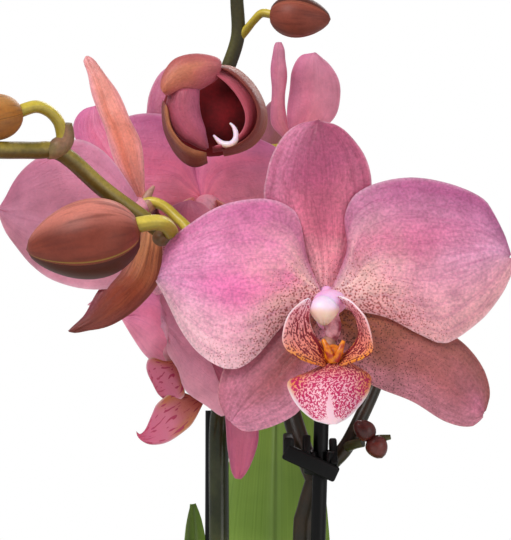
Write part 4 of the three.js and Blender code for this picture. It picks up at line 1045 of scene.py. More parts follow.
PETALS = {
    "right": (
        [(0.8, 1.6), (3.7, 9), (3.3, 15), (5.3, 19.3), (9.9, 21.5), (16.4, 22.4), (23.7, 21.4),
         (28.9, 19.4), (31, 17.2), (33.2, 12.4), (33.8, 8.2)],
        [(0.4, -0.8), (4.6, -2), (11.4, -3.2), (17.7, -6.4), (22.4, -8.1), (28.8, -4.2), (32.2, 0.6),
         (33.5, 4.6), (33.8, 7.6)], bowed(1, bow=-3.2)),
    "left": (
        [(-0.8, 1.6), (-3.2, 7.2), (-4.4, 14), (-6.1, 16.9), (-10.7, 18.6), (-17.8, 17.6), (-23.7, 14.9),
         (-30, 10.4), (-31.2, 4.6)],
        [(-0.6, 0.2), (-3.9, -0.9), (-8.3, -5.3), (-13.4, -10.7), (-17.8, -12.6), (-23.6, -9.9),
         (-28, -4.6), (-31, 3.6)], bowed(1, bow=-3.2)),
    "dorsal": (
        [(-2.4, 0.8), (-4.8, 8.3), (-8.5, 14.2), (-11.3, 18.8), (-10.9, 22.9), (-9.9, 26.7), (-7.6, 30.6),
         (-5, 32.6), (-1.8, 33.4)],
        [(2.6, 0.8), (4.6, 8.3), (6.8, 14.7), (8.5, 20.8), (7.6, 26.1), (4.9, 30.3), (2.2, 32.6),
         (-0.8, 33.4)], bowed(3, bow=-1.6)),
    "lowerLeft": (
        [(-1.4, -0.4), (-7, -3.4), (-13, -7.8), (-18.2, -11.6), (-19.9, -16.6), (-19.4, -19.9),
         (-18, -22.4)],
        [(0.8, -4.2), (-0.6, -12.6), (-4.4, -20.2), (-9.6, -23.4), (-14.7, -24.5), (-17.3, -23.2)],
        bowed(3, bow=-1.6, curl=0.8)),
    "lowerRight": (
        [(1.4, 0.2), (9, -0.8), (17, -3.4), (24.7, -7.2), (29.1, -12), (30.7, -17), (29.8, -20.6)],
        [(-0.4, -4), (3.6, -12.6), (9.2, -16.2), (16.2, -19.1), (22.1, -22.6), (26.9, -23.6),
         (29.2, -21.8)], bowed(3, bow=-1.6, curl=0.8)),
}
# Size in millimetres, number and start of the waves of each petal
WAVES = {"right": (1.3, 1.5, 0.06), "left": (1.3, 1.5, 0.38), "dorsal": (0.5, 1.0, 0.08),
         "lowerLeft": (0.3, 1.2, 0.1), "lowerRight": (0.4, 1.3, 0.3)}

# Skins of the front and the back of each petal, for near and far blooms and for bent petals; the far blooms'
# darker skins are painted shade, and the front bloom's lighter left petal is painted light
FACES = {"right": ("petal_face", "petal_back"), "left": ("bright_petal_face", "petal_back"),
         "dorsal": ("sepal_face", "sepal_back"), "lowerLeft": ("bright_low_sepal_face", "sepal_back"),
         "lowerRight": ("low_sepal_face", "sepal_back")}
SHADED_FAR_FACES = {petal: ("far_petal" if petal in ("right", "left") else "far_sepal", "far_back")
             for petal in FACES}
OWN_FACES = {
    "bloom_b": {"near": ("near_back", "near_back"), "low": ("low_sepal_back", "low_sepal_back"),
                "upright": ("sepal_back", "sepal_back"), "far": ("far_petal", "far_petal")},
    "bloom_c": {"side": ("far_petal", "far_back")},
    "bloom_d": {"wide": ("pale_petal", "pale_petal"), "narrow": ("pale_petal", "pale_petal")},
    "bloom_e": {"near": ("near_back", "near_back"), "far": ("far_petal", "far_petal"),
                "hanging": ("hanging", "hanging"), "hidden": ("far_back", "far_back")},
}


def side_depth(u, s):
    """How far forward a side lobe of the lip stands."""
    return -4.4 + (0.8 + 1.6 * math.sin(math.pi * u)) * (s - 1) - math.sin(math.pi * u)


LIPS = {
    "middle": (
        [(-0.6, -10.2), (-0.9, -11.8), (-3.6, -13.2), (-7.1, -14.6), (-6.7, -17), (-4.9, -19.5),
         (-2.4, -21.2), (0, -21.5)],
        [(4.3, -10.2), (4.9, -11.8), (6.6, -12.7), (8.1, -14), (7.5, -16.7), (5.6, -19), (3.2, -20.8),
         (1.1, -21.5)], lambda u, s: -4 - 12 * u ** 0.8 + 5.5 * s * s * math.sin(math.pi * u ** 0.8)),
    "sideLeft": (
        [(-3.2, 0.5), (-4.4, 0), (-5.7, -0.9), (-7.2, -2.6), (-8.1, -5.2), (-8.1, -7.7), (-6.3, -9.8),
         (-2.9, -11.4), (-0.6, -12)],
        [(-3, 0.2), (-2.9, -0.9), (-3.2, -3.3), (-2.6, -5.5), (-1.8, -6.8), (-0.8, -7.9), (-0.2, -9.6),
         (0.2, -11)], side_depth),
    "sideRight": (
        [(1.8, 0.8), (3.1, 0.5), (4.4, -0.3), (5.7, -1.7), (6.9, -3.4), (7.8, -6.8), (7.9, -9.2),
         (6.3, -10.4), (3.2, -11.6), (1.7, -12)],
        [(2, 0.5), (3.5, -0.9), (4.6, -2.2), (5.3, -3.7), (5.6, -6.1), (4.7, -7.9), (3.8, -8.8),
         (2.8, -9.9), (1.8, -11.2)], side_depth),
}

# Petals of the rear blooms that are bent or turned unlike the front bloom's, drawn as the camera
# sees them
OWN_PETALS = {
    "bloom_b": {
        "near": (
            [(-0.4, -0.6), (-3, 3.9), (-6.3, 9), (-9.8, 12.1), (-13.9, 13.5), (-18, 11.7), (-22.9, 8),
             (-26.4, 3.9), (-28.8, -0.4)],
            [(0.3, -2.1), (-1, -11.9), (-5.1, -16.8), (-11.4, -17.6), (-17.8, -15.8), (-22.3, -12.7),
             (-25.4, -9.4), (-28, -5.8), (-28.9, -2.1)], bowed(-0.5, -15, 1.5)),
        "low": (
            [(2.6, -4.5), (3.6, -8.2), (3.6, -11.3), (2.8, -16.4), (-1.3, -21.6), (-7.1, -24.9),
             (-12.9, -26.5), (-15.1, -26.5)],
            [(-0.7, -3.6), (-3.2, -9.4), (-5.2, -13.3), (-8.3, -16.4), (-11.6, -21.6), (-14.5, -24.9),
             (-15.6, -26.1)], bowed(-1.5, -6, -1, power=0.6)),
        "upright": (
            [(-1, 0), (-3.4, 3.8), (-6.5, 9.2), (-9.8, 18.7), (-12.2, 27), (-13.6, 30.6), (-13.2, 31.8)],
            [(0.6, 0.4), (-0.2, 3.3), (-0.4, 7.3), (-1.1, 14), (-3.8, 19.2), (-7.4, 26.3), (-10.8, 31),
             (-12.4, 31.9)], bowed(0.8, 2, -1)),
        "far": (
            [(-1.2, -0.3), (-7.5, 6.1), (-13.3, 11.6), (-16, 15.5), (-15.7, 18.9), (-13.7, 21.5),
             (-11.6, 22.1)],
            [(0, 0.8), (-1.3, 7.8), (-3, 13.8), (-5.4, 18.5), (-8.4, 21.2), (-10.9, 22.1)],
            bowed(0.8, 9, 1)),
    },
    "bloom_c": {
        "side": (
            [(-0.4, -0.3), (-2.7, 5.3), (-3.9, 11.1), (-2, 15.1), (2.4, 16.7), (8.2, 16.2), (13.4, 14.4),
             (18.7, 11.8), (21.7, 8.6)],
            [(0.6, -1.7), (4.7, -3.1), (10.6, -3.1), (16.4, -1.7), (20.3, 1.6), (22.2, 5.3), (22.2, 7.6)],
            bowed(1, 0, -2)),
    },
    "bloom_d": {
        "wide": (
            [(-1.2, -0.4), (-2.4, 5.7), (-2.5, 11.2), (-1.9, 17.3), (-1, 21.4), (1.3, 25.6), (5, 26.5)],
            [(1.4, -0.4), (6, 3.6), (10.8, 7), (12.7, 11.2), (12.4, 17.8), (9.8, 23.3), (5.8, 26.3)],
            bowed(-1, -4, -2)),
        "narrow": (
            [(-2, 0.4), (-6.7, 5), (-7.3, 9.4), (-7.2, 18.7), (-6.8, 27.5), (-6, 30.2)],
            [(0, 0.7), (-1.4, 4.7), (-2.9, 9.4), (-2.8, 19.9), (-3, 27.5), (-4.2, 30.2)],
            bowed(-0.6, 2, -1)),
    },
    "bloom_e": {
        "near": (
            [(1.2, 0.2), (0.1, 6.7), (-1.7, 10.2), (-4.3, 12.4), (-6.4, 12.2), (-6.9, 10), (-6.1, 7.1)],
            [(2.3, -0.9), (5.4, -8.2), (7.7, -13.4), (7, -15.8), (3.4, -13.2), (-1.5, -9.6), (-3, -4.9),
             (-5.7, -0.2), (-5, 3.8), (-5.9, 6.2)], bowed(0.8, -14, -1.5, power=0.7)),
        "far": (
            [(-0.5, 0.7), (-3.7, 7.6), (-7.9, 13.2), (-12.5, 12.7), (-16, 9.7), (-17.2, 6.7)],
            [(-1, -0.7), (-3.3, -3.5), (-6.7, -4.9), (-10.5, -3.1), (-14.2, 1.6), (-16.9, 6)],
            bowed(0.8, 7, 1.5)),
        "hanging": (
            [(1.5, -0.4), (8.9, -7), (13.9, -13), (14.8, -19), (13.7, -25), (12.6, -28), (11.1, -29.7)],
            [(0.2, -1.3), (3.5, -8.5), (6.7, -14.2), (7.9, -19), (7.9, -24), (8.4, -27.4), (9.6, -29.5)],
            bowed(0.8, -7, -1.5, power=0.8)),
        "hidden": (
            [(-0.5, 0), (-3, -1.5), (-4, -4), (-3.5, -7), (-2, -9.5)],
            [(0.8, -1.2), (2, -5), (2.4, -8.5), (1, -10.8), (-1, -10.6)], bowed(0.8, 16)),
    },
}
# Petals of the front bloom's kind that those take the place of
LEFT_OUT = {"bloom_b": ("right", "left", "dorsal", "lowerRight"), "bloom_c": ("right",),
            "bloom_d": ("left", "dorsal"),
            "bloom_e": ("right", "left", "lowerLeft", "lowerRight")}
# Lip of bloom E, drawn the same way
E_LIPS = {
    "middle": (
        [(0.5, -11.4), (-3.8, -10), (-7.7, -12.5), (-9, -14.9), (-10.6, -18.5), (-11.9, -19.8),
         (-12.8, -19.1)],
        [(2.5, -12.7), (0.5, -16.5), (-1.2, -18.5), (-5.5, -21.4), (-9.2, -22.1), (-11.5, -21.3),
         (-12.7, -19.8)], lambda u, s: -3 - 2.5 * math.sin(math.pi * u)),
    "side": (
        [(-3.1, -2.3), (-6, -3.2), (-9.3, -2.3), (-10.4, -4.1), (-9.8, -6.8), (-8, -8.1)],
        [(-1.7, -4.5), (-2.2, -7.6), (-1.7, -10.8), (-3.5, -12.1), (-6.2, -12.1), (-7.7, -10.1)],
        lambda u, s: -3.6 - 1.5 * math.sin(math.pi * u)),
}

# Height of the point that petals turn about, and depth of the hub's back
PETAL_PIVOT = 2.0
HUB_BACK = 5.72

# Place of each bloom's column, the way it faces in degrees, and its petals' droop, pitch and swing
BLOOMS = {
    "bloom_a": dict(at=(13, -42, 314.5), yaw=0, roll=0, size=1, turns={}),
    "bloom_b": dict(at=(-21.5, -21, 332.6), yaw=-112, roll=14, size=0.93, turns={ "lowerLeft": (6, 4, 44)}),
    "bloom_c": dict(
        at=(-10.9, 12.4, 334.4), yaw=8, roll=10, size=0.92,
        turns={ "dorsal": (-16, 0, 0), "lowerLeft": (0, 6, 0)}),
    "bloom_d": dict(at=(9.2, 37, 348.6), yaw=112, roll=30, size=0.78, turns={}),
    "bloom_e": dict(at=(-12.8, -4, 304.4), yaw=-69, roll=0, size=0.9, turns={ "dorsal": (0, 7, 40)}),
    "bloom_f": dict(at=(33, 20, 311), yaw=112, roll=0, size=0.8, turns={}),
    "bloom_g": dict(at=(1.6, 54.4, 305.2), yaw=205, roll=0, size=0.78, turns={ "lowerRight": (-26, 0, 0)}),
}


def turn_matrix(turn):
    """A petal's droop, pitch and swing about the point where it leaves the hub."""
    droop, pitch, swing = (math.radians(a) for a in turn)
    return (Matrix.Translation((0, PETAL_PIVOT, 0)) @ Matrix.Rotation(swing, 4, "Z")
            @ Matrix.Rotation(pitch, 4, "X") @ Matrix.Rotation(droop, 4, "Y")
            @ Matrix.Translation((0, -PETAL_PIVOT, 0)))


def bloom_matrix(bloom):
    """Places a bloom, in millimetres."""
    return (Matrix.Translation(bloom["at"]) @ Matrix.Rotation(math.radians(bloom["yaw"]), 4, "Z")
            @ Matrix.Rotation(math.radians(bloom["roll"]), 4, "Y") @ Matrix.Scale(bloom["size"], 4))


def in_metres(matrix):
    """The matrix for meshes in metres that a matrix for millimetres stands for."""
    moved = matrix.copy()
    moved.translation = matrix.translation * MM
    return moved


def cap_shape(unit, point):
    """Narrows the lower half of the anther cap to a blunt beak."""
    low = max(-unit.z, 0)
    notch = 0.35 * low * math.cos(7 * math.atan2(unit.y, unit.x))
    return Vector((point.x * (1 - 0.35 * low), point.y * (1 - 0.3 * low), point.z + notch))


def bloom_parts(name, bloom):
    """The meshes of a bloom's petals, sepals, hub and column."""
    meshes = []
    thickness = bpy.context.scene.orchid_sizes.petal_thickness / MM / bloom["size"]
    front = name == "bloom_a"
    for petal, form in PETALS.items():
        if petal in LEFT_OUT.get(name, ()):
            continue
        size, turns, start = WAVES[petal]
        # Blooms C to G take the darker far skins: painted shade
        faces = FACES if name in ("bloom_a", "bloom_b") else SHADED_FAR_FACES
        mesh = blade_mesh(f"{name}_{petal}", form_lines(form), *faces[petal], along=48 if front else 30,
                          across=27 if front else 17, thickness=thickness, wave=size, turns=turns,
                          start=start, groove=0.2, groove_width=0.12)
        mesh.transform(in_metres(bloom_matrix(bloom) @ turn_matrix(bloom["turns"].get(petal, (0, 0, 0)))))
        meshes.append(mesh)
    for petal, form in OWN_PETALS.get(name, {}).items():
        mesh = blade_mesh(f"{name}_{petal}", form_lines(form), *OWN_FACES[name][petal], along=36, across=19,
                          thickness=thickness, wave=0.8, turns=2.2, start=0.1, groove=0.3,
                          groove_width=0.12)
        mesh.transform(in_metres(Matrix.Translation(bloom["at"]) @ Matrix.Scale(bloom["size"], 4)))
        meshes.append(mesh)
    balls = [
        ball_mesh(f"{name}_hub", (2.4, 3.4, 4.2), (0.2, 2.6, -1.6), "column" if front else "hub"),
        ball_mesh(f"{name}_column", (3.1, 3.6, 2.4), (0.6, -2.3, -0.4), "column" if front else "far_column"),
        ball_mesh(f"{name}_cap", (2.8, 2.2, 2.6), (-0.5, -4.7, -1.7), "cap" if front else "far_column",
                  shape=cap_shape),
        ball_mesh(f"{name}_throat", (1.6, 1.8, 2.8), (1.1, -2.2, -4.8), "throat"),
    ]
    if name == "bloom_b":
        balls[0] = ball_mesh(f"{name}_hub", (1.4, 1.6, 1.6), (0, 0.6, 0), "hub")
    for mesh in balls:
        mesh.transform(in_metres(bloom_matrix(bloom)))
        meshes.append(mesh)
    return meshes


def lip_parts(name, bloom):
    """The meshes of a bloom's lip: its lobes, the callus with its two teeth and the claw."""
    meshes = []
    thickness = bpy.context.scene.orchid_sizes.petal_thickness / MM / bloom["size"]
    own = name == "bloom_e"
    place = in_metres(bloom_matrix(bloom))
    lobe_place = place
    if own:
        lobe_place = in_metres(Matrix.Translation(bloom["at"]) @ Matrix.Scale(bloom["size"], 4))
    for lobe, form in (E_LIPS if own else LIPS).items():
        # Bloom E's lobes take the darker lip: painted shade
        look = "lip_far" if own else "lip_pale"
        if name == "bloom_a":
            look = "lip_lobe" if lobe == "middle" else "lip_side"
        mesh = blade_mesh(f"{name}_{lobe}", form_lines(form), look, look, along=36, across=21,
                          thickness=thickness)
        mesh.transform(lobe_place)
        meshes.append(mesh)
    bodies = [
        ball_mesh(f"{name}_callus", (1.9, 1.9, 1.9), (1.1, -4.6, -9.9), "callus"),
        ball_mesh(f"{name}_claw", (1.4, 3.5, 1.65), (0.3, -1.3, -8.1), "hub"),
        stem_mesh(f"{name}_tooth_left", [(0.9, -6.2, -10.9), (0.1, -6.8, -9), (-0.8, -6.4, -7)],
                  (0.8, 0.7, 0.35), "callus", count=10, sides=10),
        stem_mesh(f"{name}_tooth_right", [(1.4, -6.2, -10.8), (2.2, -6.8, -9), (2.9, -6.4, -7.3)],
                  (0.8, 0.7, 0.35), "callus", count=10, sides=10),
    ]
    for mesh in bodies:
        mesh.transform(place)
        meshes.append(mesh)
    return meshes


# Spikes

SPIKE_LEFT = [
    (-2.8, 7.5, 112), (-3.2, 1, 118), (-4, -6, 130), (-6.2, -9.4, 148), (-7.6, -7, 175),
    (-7.6, -2, 220), (-7.6, 2, 263.7), (-7.6, 2, 286.6), (-6.6, 4, 292.7), (-4.5, 6, 298.9),
    (-3.2, 4, 305.3), (-4, -3, 311.8), (-6.3, -13, 318), (-9.3, -21, 322.7), (-12.3, -26, 325),
    (-16, -29, 326), (-20, -32, 328.9), (-28.2, -36, 334.9), (-34.4, -39.6, 340.6),
    (-37.4, -41.6, 342.1), (-41.2, -44, 341.9), (-51.8, -52, 342.1), (-59.8, -57, 347), (-66, -60, 353)]
SPIKE_RIGHT_LOW = [
    (2.7, 7.5, 112), (3.4, 1, 118), (7, -3.6, 136), (9.5, -5, 180), (9.6, -5.5, 225),
    (9.7, -6, 264.9), (10.5, -6, 271), (12.3, -6, 277.1)]
SPIKE_RIGHT = [
    (12.3, -6, 277.1), (9.8, -3, 283), (8.4, -1, 286.9), (7.4, 1, 290.3), (6, 6, 295.8),
    (4.4, 15, 303.5), (3.2, 24, 314), (0.6, 28, 326), (-1.7, 28, 337.7), (-3.2, 26, 348.8),
    (-5, 24, 357.5), (-6.1, 24, 364.6), (-3.9, 23, 371.5), (-4.1, 22, 379.3), (-4.5, 20, 388),
    (-2, 17, 396), (2, 15, 401)]
SPIKE_ARM = [
    (12.3, -6, 277.1), (15.7, -5, 280.7), (18.5, -6, 283.9), (21.7, -5, 290),
    (24.9, -3, 296.8), (26.7, -2, 303.8), (27, -3, 311.9), (24, -10, 316), (20, -22, 315.5)]


def boss_point(name, behind):
    """A point behind a bloom's hub, where its pedicel comes."""
    bloom = BLOOMS[name]
    return bloom_matrix(bloom) @ Vector((0.2, HUB_BACK + behind / bloom["size"], -1.6))


def pedicel_mesh(bloom, start):
    """The mesh of a ribbed flower stalk from a spike to a bloom's hub."""
    return stem_mesh(f"{bloom}_stalk", [start, boss_point(bloom, 4), boss_point(bloom, -0.6)],
                     (1.25, 1.05, 1.1, 1.35), "pedicel", count=24, ribs=6, rib_depth=0.08)


def left_spike_parts():
    """The meshes of the left spike and its stalks."""
    return [
        stem_mesh("left_low", SPIKE_LEFT[:9], (2.3, 2.2, 2.15, 2.1), "green_spike", 90),
        stem_mesh("left_main", SPIKE_LEFT[8:], (2.1, 1.85, 1.6, 1.6, 1.6, 1.35), "spike", 110),
        stem_mesh("left_bud_stalk", [
            (-16.8, -34.5, 326.4), (-15.9, -38.4, 326.8), (-16, -41.4, 327.8), (-17.3, -43.6, 328.6),
            (-19.4, -44.6, 328.6), (-22.4, -45, 328)],
            (1.7, 1.4, 1.35, 1.45), "pedicel", ribs=6, rib_depth=0.1),
        ball_mesh("left_bud_knob", (1.8, 3.2, 1.6), (-17.5, -37.6, 326), "knob"),
        stem_mesh("edge_bud_node", [
            (-38.4, -42.4, 341.8), (-36.6, -41.6, 342.4), (-35.1, -41, 344.2), (-35, -41.6, 347)],
            (1.5, 1.9, 1.6, 1.2), "node", count=20),
        stem_mesh("edge_bud_stalk", [
            (-35.8, -41.2, 342.8), (-35.7, -41.6, 345), (-36.3, -42.6, 347.4), (-38, -43.8, 349.2),
            (-40.2, -45, 349.8), (-43, -46, 348.8)], (1.15, 1.05, 1.15), "pedicel", ribs=6, rib_depth=0.06),
        stem_mesh("stalk_b", [
            (-12.1, -26, 325.2), (-13.3, -24.5, 328.1), (-15.6, -22.8, 330.4), (-17.7, -21.9, 332.3),
            (-20.1, -21.4, 333.3), (-22.4, -20.9, 333)], (1.2, 1.0, 0.95, 1.0), "pedicel", ribs=6,
            rib_depth=0.06),
        stem_mesh("bloom_b_beak", [(-21.8, -20.6, 333.4), (-20.9, -20.4, 335), (-19.9, -20.3, 336.5)],
                  (0.9, 0.8, 0.3), "hub", count=12, sides=12),
        pedicel_mesh("bloom_e", (-4.2, 5.4, 300)),
    ]


def right_spike_parts():
    """The meshes of the right spike and its stalks."""
    stalks = {"bloom_a": (20, -22, 315.5), "bloom_c": (-1.7, 28, 337.7), "bloom_d": (-3.2, 26, 348.8),
              "bloom_f": (4.4, 15, 303.5), "bloom_g": (3.2, 24, 314)}
    return [
        stem_mesh("right_low", SPIKE_RIGHT_LOW, (2.4, 2.3, 2.2, 2.15, 2.1), "low_spike", 80),
        stem_mesh("right_main", SPIKE_RIGHT[:12], (2.1, 1.95, 1.8, 1.6), "low_spike", 80),
        stem_mesh("right_top", SPIKE_RIGHT[11:], (1.6, 1.5, 1.3, 1.1), "top_spike", 50),
        stem_mesh("right_arm", SPIKE_ARM, (1.8, 1.5, 1.3, 1.2, 1.1), "low_spike", 60),
        *(pedicel_mesh(bloom, at) for bloom, at in stalks.items()),
        stem_mesh("top_bud_stalk", [
            (-3.6, 23, 371.1), (-2.1, 22, 372.7), (-0.3, 20, 374.6), (1.4, 19, 376), (3.6, 17.9, 375.6)],
            (1, 0.85, 1), "pedicel"),
        stem_mesh("opening_stalk", [
            (-5, 24, 356), (-2.2, 13, 356), (-3.6, 5.5, 354.8), (-5.8, 0.6, 353.4)],
            (1.3, 1.2, 1.3), "pedicel"),
        stem_mesh("shoot_stalk", [
            (18.5, -6, 283.9), (19.3, -8, 284.3), (20.3, -9, 284.8), (21.7, -9.8, 285.2)],
            (1.2, 1, 1), "shoot"),
    ]


# Buds

def bud_mesh(name, base, tip, radius, material, sides=72, rings=30, seam=0.06, seam_turn=0.0):
    """The mesh of a closed bud from its base to its tip, with three seams along it.

    The seams are turned about the bud by an angle in degrees, and the sepal between the first two
    runs in its map from 0 to a third.
    """
    start = Vector(base)
    end = Vector(tip)
    axis = (end - start).normalized()
    length = (end - start).length
    first = axis.cross(Vector((0, 1, 0)) if abs(axis.y) < 0.9 else Vector((1, 0, 0))).normalized()
    second = axis.cross(first)
    points = [start]
    for k in range(1, rings):
        share = k / rings
        full = math.sin(math.pi * share ** 0.8) ** 0.58
        for i in range(sides):
            turn = 2 * math.pi * i / sides
            miss = abs(((i / sides * 3 + 0.5) % 1) - 0.5) / 1.5
            turn += math.radians(seam_turn)
            dent = 1 - seam * math.exp(-(miss / 0.035) ** 2) * math.sin(math.pi * share) ** 0.5
            r = radius * full * dent
            points.append(start + axis * length * share + first * r * math.cos(turn)
                          + second * r * math.sin(turn))
    points.append(end)
    thing = mesh_object(name, points, capped_faces(sides, rings - 1), [material_of(material)])
    layer = thing.data.uv_layers.new(name="UVMap")
    for loop in thing.data.loops:
        index = loop.vertex_index
        if index in (0, len(points) - 1):
            layer.data[loop.index].uv = (0.0 if index == 0 else 1.0, 0.5)
        else:
            k, i = divmod(index - 1, sides)
            layer.data[loop.index].uv = ((k + 1) / rings, i / sides)
    return mesh_of(outward(thing))


OPENING_CENTRE = Vector((-9.6, -9, 352.4))
OPENING = {
    "hood": (
        [(-9, 3.1), (-9.2, 4.8), (-8.5, 7.3), (-6.3, 9.8), (-2.2, 10.8), (1.9, 10.1), (2.9, 8.6)],
        [(-8.5, 2.6), (-5.9, 2.6), (-3.4, 2.9), (-0.6, 4.2), (1.7, 5.8), (2.7, 7.2)],
        lambda u, s: -5.4 + 2.2 * u * u - 2.6 * (1 - s * s) + 1.2 * s),
    "cheek": (
        [(-7.6, 3.6), (-8.4, 0.2), (-7.6, -3.3), (-5.4, -6.1), (-2.8, -7.4), (-0.2, -8.5)],
        [(-1.6, 3.8), (-1.6, 0.8), (-1.2, -1.7), (-0.4, -4.2), (-0.1, -6.4), (0.2, -8.1)],
        lambda u, s: -4 - 2.6 * (1 - s * s) - 0.8 * u),
    "keel": (
        [(-8.1, 0.3), (-7.3, -3.8), (-5.1, -7), (-2.6, -8.4), (-0.2, -9)],
        [(-9.1, 1.9), (-8.8, -3.8), (-7.2, -7.9), (-5.1, -10.6), (-2.6, -11.8), (0, -10.9)],
        lambda u, s: -4.4 + 2 * s),
    "inner_rim": (
        [(0.9, 7.2), (3.9, 4.8), (6.4, 1.6), (7.6, -1.6), (7, -4.6), (4.6, -6.8), (1, -7.8)],
        [(1.4, 8.6), (5.2, 7), (8.6, 3.4), (10, -0.6), (9.4, -4.2), (6.4, -7.2), (1, -8.8)],
        lambda u, s: -3.8 + 1.4 * s),
    "outer_rim": (
        [(2.2, 8.2), (5.2, 6.6), (8.4, 3.2), (10, -0.4), (9.5, -4), (7, -6.8), (3, -8.4)],
        [(2.6, 9.2), (6.1, 8.1), (9.7, 4.6), (11.8, -0.3), (11.4, -4.3), (8.5, -7.6), (3.2, -9.4)],
        lambda u, s: -2.6 + 3 * s),
}


def opening_parts():
    """The meshes of the half-open bud."""
    meshes = []
    for part, form in OPENING.items():
        mesh = blade_mesh(f"opening_{part}", form_lines(form), part, part, along=30, across=17,
                          thickness=0.9)
        mesh.transform(Matrix.Translation(OPENING_CENTRE * MM))
        meshes.append(mesh)
    # A dark red ball fills the bud's opening: partly the red of the parts inside, partly painted shade in
    # the hollow
    heart = OPENING_CENTRE + Vector((0.4, 4.2, 0))
    meshes.append(ball_mesh("opening_heart", (9.9, 6.2, 9.2), heart, "maroon"))
    tongue = [(1.2, -3.6, -5.4), (2.9, -4.6, -7.1), (4.7, -5, -7.3), (5.7, -4.8, -6), (5.4, -4.4, -4.1),
              (4.5, -4, -3)]
    meshes.append(stem_mesh("opening_tongue", [OPENING_CENTRE + Vector(p) for p in tongue],
                            (0.2, 0.55, 0.75, 0.65, 0.5, 0.2), "cap", count=24, sides=12))
    return meshes


# Leaves

LEAVES = {
    "leaf_1": dict(azimuth=78, sheath=10.3, arc=60, foot=104, length=200, half=14.5, start=86, end=86),
    "leaf_2": dict(
        azimuth=180, sheath=10.3, arc=36, foot=104, length=168, half=12.5, start=89.1, end=88.6, twist=-20),
    "leaf_3": dict(azimuth=10, sheath=12.25, arc=52, foot=104, length=190, half=27, start=70, end=-22),
    "leaf_4": dict(azimuth=178, sheath=12.15, arc=50, foot=103.5, length=184, half=26, start=66, end=-18),
    "leaf_5": dict(azimuth=212, sheath=14.3, arc=36, foot=103.5, length=160, half=24, start=50, end=-38),
    "leaf_6": dict(azimuth=340, sheath=13.9, arc=34, foot=103.5, length=165, half=25, start=46, end=-40),
}
LEAF_WIDEST = 0.62


def leaf_lines(leaf, steps=60):
    """The two edges and the midrib of a leaf that springs from the crown."""
    azimuth = math.radians(leaf["azimuth"])
    out = Vector((math.cos(azimuth), math.sin(azimuth), 0))
    side = Vector((-out.y, out.x, 0))
    up = Vector((0, 0, 1))
    foot_half = leaf["sheath"] * math.radians(leaf["arc"])
    middle = CROWN_CENTRE + out * leaf["sheath"] + up * leaf["foot"]
    lines = [[], [], []]
    for i in range(steps):
        u = 0.997 * i / (steps - 1)
        lean = math.radians(leaf["start"] + (leaf["end"] - leaf["start"]) * u ** 1.3)
        upper = out * -math.sin(lean) + up * math.cos(lean)
        if u > LEAF_WIDEST:
            half = leaf["half"] * math.sqrt(1 - ((u - LEAF_WIDEST) / (1 - LEAF_WIDEST)) ** 2)
        else:
            rise = math.sin(math.pi / 2 * u / LEAF_WIDEST)
            half = foot_half + (leaf["half"] - foot_half) * rise ** 1.6
        bend = leaf["sheath"] + 60 * u
        twist = math.radians(leaf.get("twist", 0) * u)
        over = side * math.cos(twist) + upper * math.sin(twist)
        inner = upper * math.cos(twist) - side * math.sin(twist)
        for line, v in zip(lines, (-1, 0, 1)):
            turn = v * half / bend
            line.append(middle + over * bend * math.sin(turn) + inner * bend * (1 - math.cos(turn)))
        step = leaf["length"] * 0.985 / (steps - 1)
        middle = middle + (out * math.cos(lean) + up * math.sin(lean)) * step
    return lines


# Roots, stakes and clips

ROOTS = [
    [(9, 12, 98.5), (20, 8, 98.5), (33, 0, 102.5), (43, -6, 90)],
    [(-8, 11, 98.5), (-20, 2, 98.5), (-34, -8, 103), (-43, -14, 90)],
    [(4, 7, 98.5), (10, -4, 98.5), (17, -30, 101), (18, -42, 90)],
    [(9, 18, 98.5), (20, 21, 98.5), (32, 22, 107), (48, 22, 114), (66, 22, 112), (71, 23, 98), (70, 22, 80)],
    [(-9, 18, 98.5), (-20, 22, 98.5), (-34, 26, 102), (-42, 24, 90)],
    [(-6, 7, 98.5), (-14, -2, 98.5), (-20, -22, 108), (-26, -46, 114), (-30, -62, 111), (-32, -67, 96),
     (-31, -65, 82)],
]
STAKE_RADIUS = 1.5
STAKES = {"stake_left": ((-9.2, -15.6, 15), (-9.2, 10.6, 290)),
          "stake_front": ((5.6, -17.8, 15), (13.4, -11.9, 296))}


def stake_point(stake, height):
    """Where the middle of a stake is at a height."""
    low, high = (Vector(p) for p in STAKES[stake])
    return low.lerp(high, (height - low.z) / (high.z - low.z))


def block_mesh(name, start, end, width, height, bevel):
    """The mesh of a clip's bar between two points, with rounded edges."""
    a = Vector(start)
    b = Vector(end)
    along = (b - a).normalized()
    upright = Vector((0, 0, 1)) if abs(along.z) < 0.95 else Vector((0, 1, 0))
    across = upright.cross(along).normalized()
    over = along.cross(across)
    corners = []
    for end_point in (a, b):
        for i, j in ((-1, -1), (1, -1), (1, 1), (-1, 1)):
            corners.append(end_point + across * i * width / 2 + over * j * height / 2)
    faces = [(0, 1, 2, 3), (7, 6, 5, 4), (0, 4, 5, 1), (1, 5, 6, 2), (2, 6, 7, 3), (3, 7, 4, 0)]
    thing = mesh_object(name, corners, faces, [material_of("clip_plastic")], smooth=False)
    work = bmesh.new()
    work.from_mesh(thing.data)
    bmesh.ops.recalc_face_normals(work, faces=work.faces)
    bmesh.ops.bevel(work, geom=work.edges[:], offset=bevel * MM, segments=3, profile=0.5, affect="EDGES")
    work.to_mesh(thing.data)
    work.free()
    thing.data.shade_smooth()
    return mesh_of(thing)


